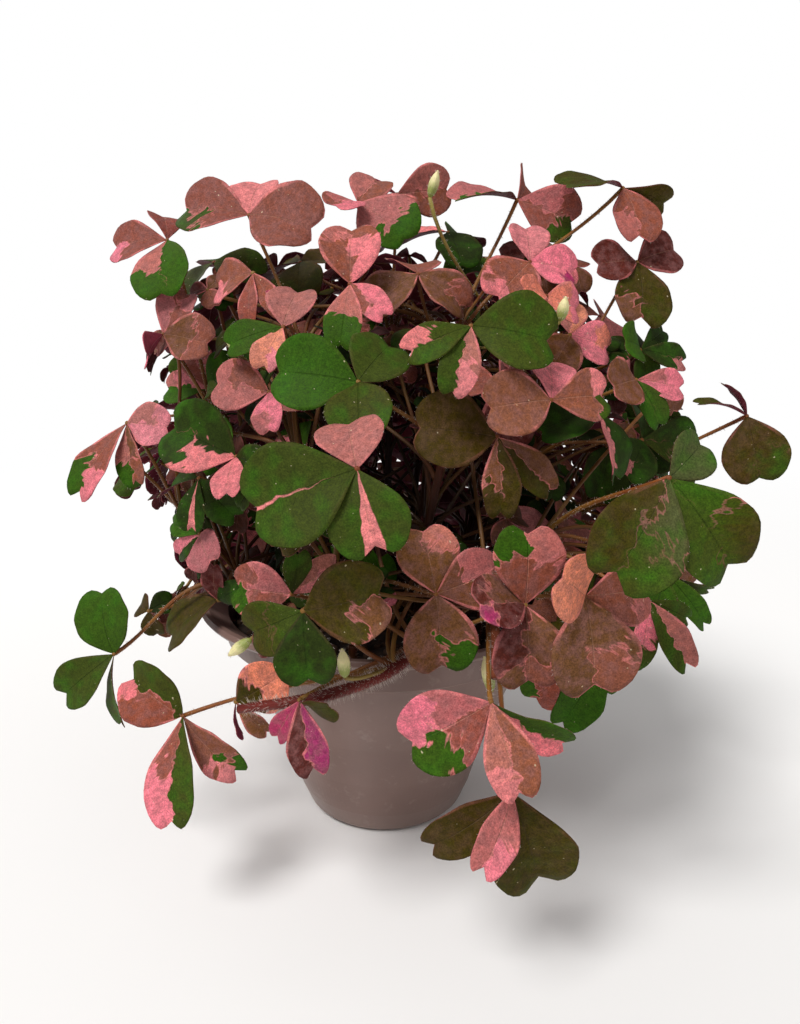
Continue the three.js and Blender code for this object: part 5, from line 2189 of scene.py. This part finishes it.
@dataclass
class Pot:
    """The tapered plastic pot with a turned-out lip and drain holes."""

    outside: tuple[tuple[float, float], ...] = (
        (24.2, 0), (26, 1.6), (28.6, 8), (32.2, 20), (37.4, 35), (47.2, 58.4),
        (50.2, 60), (50.8, 66.4), (57.2, 69.6), (58, 70.6), (57.4, 72),
    )  # fmt: skip
    inside: tuple[tuple[float, float], ...] = (
        (55.8, 72), (49.4, 68), (48.6, 61.4), (45.6, 59.6), (35.6, 35.5), (30.4, 20.5), (24.2, 2.6),
    )  # fmt: skip
    sides: int = 120
    base_reach: float = 24.3
    base_inset: float = 4.0
    edge_width: float = 0.7
    holes: int = 5
    hole_radius: float = 2.6
    hole_circle: float = 17.0

    def build(self) -> bpy.types.Object:
        """Models the pot.

        Returns:
            The piece.
        """
        profile = [(r * MM, z * MM) for r, z in (*self.outside, *self.inside)]
        obj = Bench.lathe(profile, self.sides, "plastic_pot")
        bpy.ops.object.mode_set(mode="EDIT")
        for z in (self.outside[0][1], self.inside[-1][1]):
            Bench.pick_disc(obj, z * MM, self.base_reach * MM)
            bpy.ops.mesh.edge_face_add()
            bpy.ops.mesh.inset(thickness=self.base_inset * MM)
        Bench.face_out()
        self._drill(obj)
        edge = obj.modifiers.new("soft_edges", "BEVEL")
        edge.width, edge.segments, edge.limit_method = self.edge_width * MM, 3, "ANGLE"
        edge.angle_limit = math.radians(24)
        Bench.apply(obj)
        bpy.ops.object.shade_smooth_by_angle(angle=math.radians(35))
        return obj

    def _drill(self, obj: bpy.types.Object) -> None:
        """Cuts the drain holes through the base."""
        for i in range(self.holes):
            x, y, _ = polar(90 + i * 360 / self.holes, self.hole_circle, 0) * MM
            Bench.clear()
            bpy.ops.mesh.primitive_cylinder_add(
                vertices=24, radius=self.hole_radius * MM, depth=0.012, location=(x, y, 0.001)
            )
            drill = bpy.context.object
            bpy.ops.object.transform_apply(location=True)
            cut = obj.modifiers.new("drain", "BOOLEAN")
            cut.object, cut.operation, cut.solver = drill, "DIFFERENCE", "EXACT"
            Bench.apply(obj)
            bpy.data.objects.remove(drill)

    def dress(self, obj: bpy.types.Object, finish: bpy.types.Material) -> None:
        """Gives the pot its finish and its place.

        Args:
            obj: The piece.
            finish: The plastic.
        """
        obj.data.materials.clear()
        obj.data.materials.append(finish)
        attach(obj, "root")
        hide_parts("pot")


@dataclass
class PottingMix:
    """The potting mix: a filled body with a crumbly top, bark and white grains."""

    side: tuple[tuple[float, float], ...] = (
        (23.2, 3.1), (29, 20.6), (34.2, 35.6), (44, 59.4), (47.2, 61.8), (47.4, 63.2),
    )  # fmt: skip
    top: float = 64.0
    crumbs: int = 620
    grains: int = 46

    def build(self, finishes: list[bpy.types.Material]) -> bpy.types.Object:
        """Models the body and strews crumbs on it.

        Args:
            finishes: Materials of the body, the crumbs and the white grains.

        Returns:
            The piece.
        """
        rings = [(r, self.top) for r in (46.4, 42, 36, 30, 24, 18, 12, 6, 2)]
        profile = [(r * MM, z * MM) for r, z in (*self.side, *rings)]
        obj = Bench.lathe(profile, 60, "mix_form")
        bpy.ops.object.mode_set(mode="EDIT")
        for z, reach in ((self.side[0][1], 100), (self.top, 2.1)):
            Bench.pick_disc(obj, z * MM, reach * MM)
            bpy.ops.mesh.edge_face_add()
            bpy.ops.mesh.poke()
        Bench.face_out()
        body = Form.take(obj)
        chance = np.random.default_rng(64)
        basket = Basket()
        verts = body.verts / MM
        on_top = verts[:, 2] > 63.9
        swell = 0.7 * np.sin(verts[:, 0] * 0.31 + 1) * np.sin(verts[:, 1] * 0.27 + 2)
        verts[on_top, 2] += (swell + chance.normal(0, 0.25, len(verts)))[on_top]
        basket.put(verts, body, 0, {})
        ball = Masters.ball(1)
        for count, low, high, slot in ((self.crumbs, 0.5, 1.5, 1), (self.grains, 0.8, 1.5, 2)):
            for _ in range(count):
                r, a = 46.2 * math.sqrt(chance.random()), chance.random() * 2 * math.pi
                size = (low + (high - low) * chance.random()) * (0.6 + 0.8 * chance.random(3))
                shape = ball.verts * (1 + chance.normal(0, 0.12, (len(ball.verts), 1))) * size
                at = np.array([r * math.cos(a), r * math.sin(a), self.top + 0.3 * chance.random()])
                basket.put(shape + at, ball, slot, {})
        piece = basket.make("mix_with_crumbs", finishes)
        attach(piece, "root")
        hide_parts("potting_mix")
        return piece


@dataclass
class Studio:
    """The pale floor, the soft light and the camera."""

    lens: float = 26.72
    floor_tone: str = "f4f2f0"
    floor_shade: str = "efedeb"

    def build(self) -> None:
        """Builds the stage."""
        self._floor()
        sun = bpy.data.lights.new("window", "SUN")
        sun.energy, sun.angle = 2.7, math.radians(24)
        lamp = bpy.data.objects.new("window", sun)
        lamp.rotation_euler = Vector((-0.45, -0.55, 1.0)).to_track_quat("Z", "Y").to_euler()
        bpy.context.scene.collection.objects.link(lamp)
        self._light("fill", (0.7, -0.5, 0.45), 0.8, 0.8)
        self._light("rim", (-0.5, 0.45, 0.6), 0.6, 1.2)
        world = bpy.data.worlds.new("studio")
        world.use_nodes = True
        tree = world.node_tree
        back = tree.nodes["Background"]
        back.inputs[0].default_value = WHITE
        back.inputs[1].default_value = 0.34
        clear, both = tree.nodes.new("ShaderNodeBackground"), tree.nodes.new("ShaderNodeMixShader")
        clear.inputs[0].default_value = WHITE
        path = tree.nodes.new("ShaderNodeLightPath")
        tree.links.new(path.outputs["Is Camera Ray"], both.inputs[0])
        tree.links.new(back.outputs[0], both.inputs[1])
        tree.links.new(clear.outputs[0], both.inputs[2])
        tree.links.new(both.outputs[0], tree.nodes["World Output"].inputs[0])
        bpy.context.scene.world = world
        bpy.context.scene.view_settings.view_transform = "Standard"
        data = bpy.data.cameras.new("camera")
        data.lens, data.clip_start = self.lens, 0.01
        camera = bpy.data.objects.new("camera", data)
        camera.location = [v * MM for v in VIEW.eye]
        camera.rotation_euler = (math.pi / 2 - VIEW.pitch, 0, 0)
        bpy.context.scene.collection.objects.link(camera)
        bpy.context.scene.camera = camera

    def _floor(self) -> None:
        """Lays a plain pale floor."""
        Bench.clear()
        bpy.ops.mesh.primitive_plane_add(size=6, location=(0, 0, 0))
        floor = bpy.context.object
        floor.name = "floor"
        k = Sketch("floor_pale")
        cloud = k.noise(k.place(), 3, 2)
        tone = k.mix(cloud, self.floor_tone, self.floor_shade)
        material = k.finish(tone, 0.8, None, 0, Specular_IOR_Level=0.2)
        far = k.node("VectorMath", operation="LENGTH")
        k.feed(far.inputs[0], k.place())
        glow, both = k.node("Emission"), k.node("MixShader")
        glow.inputs[0].default_value = WHITE
        k.feed(both.inputs[0], k.between(far.outputs["Value"], 0.14, 0.75))
        out = next(n for n in k.tree.nodes if n.type == "OUTPUT_MATERIAL")
        shader = next(n for n in k.tree.nodes if n.type == "BSDF_PRINCIPLED")
        k.feed(both.inputs[1], shader.outputs[0])
        k.feed(both.inputs[2], glow.outputs[0])
        k.feed(out.inputs[0], both.outputs[0])
        floor.data.materials.append(material)

    def _light(self, name: str, at: tuple[float, float, float], size: float, power: float) -> None:
        """Hangs a soft square light that points at the plant.

        Args:
            name: Its name.
            at: Where it hangs.
            size: Its side.
            power: Its power in watts.
        """
        data = bpy.data.lights.new(name, "AREA")
        data.size, data.energy = size, power
        light = bpy.data.objects.new(name, data)
        light.location = at
        back = Vector(at) - Vector((0, 0, 0.1))
        light.rotation_euler = back.to_track_quat("Z", "Y").to_euler()
        bpy.context.scene.collection.objects.link(light)


def corners(pair: tuple) -> list[list[float]]:
    """Two corners as plain lists.

    Args:
        pair: The lowest and the highest corner.

    Returns:
        Two lists of three numbers.
    """
    return [[float(x) for x in corner] for corner in pair]


def main() -> None:
    """Builds the pot, the potting mix, the leafy stems and the studio, in that order."""
    logging.basicConfig(level=logging.INFO, format="%(message)s")
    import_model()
    Bench.clear()

    pot = Pot()
    pot.dress(pot.build(), PotFinish().make())
    LOG.info("pot: done")

    soil = (
        MixFinish("mix_body", "1c1410", "4a3629"),
        MixFinish("mix_crumbs", "2a1d15", "6b4c38"),
        MixFinish("mix_grains", "b9b2a8", "e6e2da"),
    )
    PottingMix().build([finish.make() for finish in soil])
    LOG.info("potting mix: done")

    growth = Growth()
    growth.grow()
    added = sum(growth.fill(*row) for row in INSIDE_PASSES)
    LOG.info("growth: %d leaves missed, %d added inside", growth.missed, added)

    masters = Masters.model()
    finishes = [LeafFinish().make(), StalkFinish().make(), HairFinish().make(), BudFinish().make()]
    for number, stem in enumerate(growth.stems, start=1):
        leafy = LeafyStem(number, stem, masters)
        leafy.build()
        piece = leafy.dress(finishes)
        LOG.info("%s: %d leaves, %d faces", piece.name, len(stem.leaves), len(piece.data.polygons))

    Studio().build()
    LOG.info("size: written")


if __name__ == "__main__":
    main()
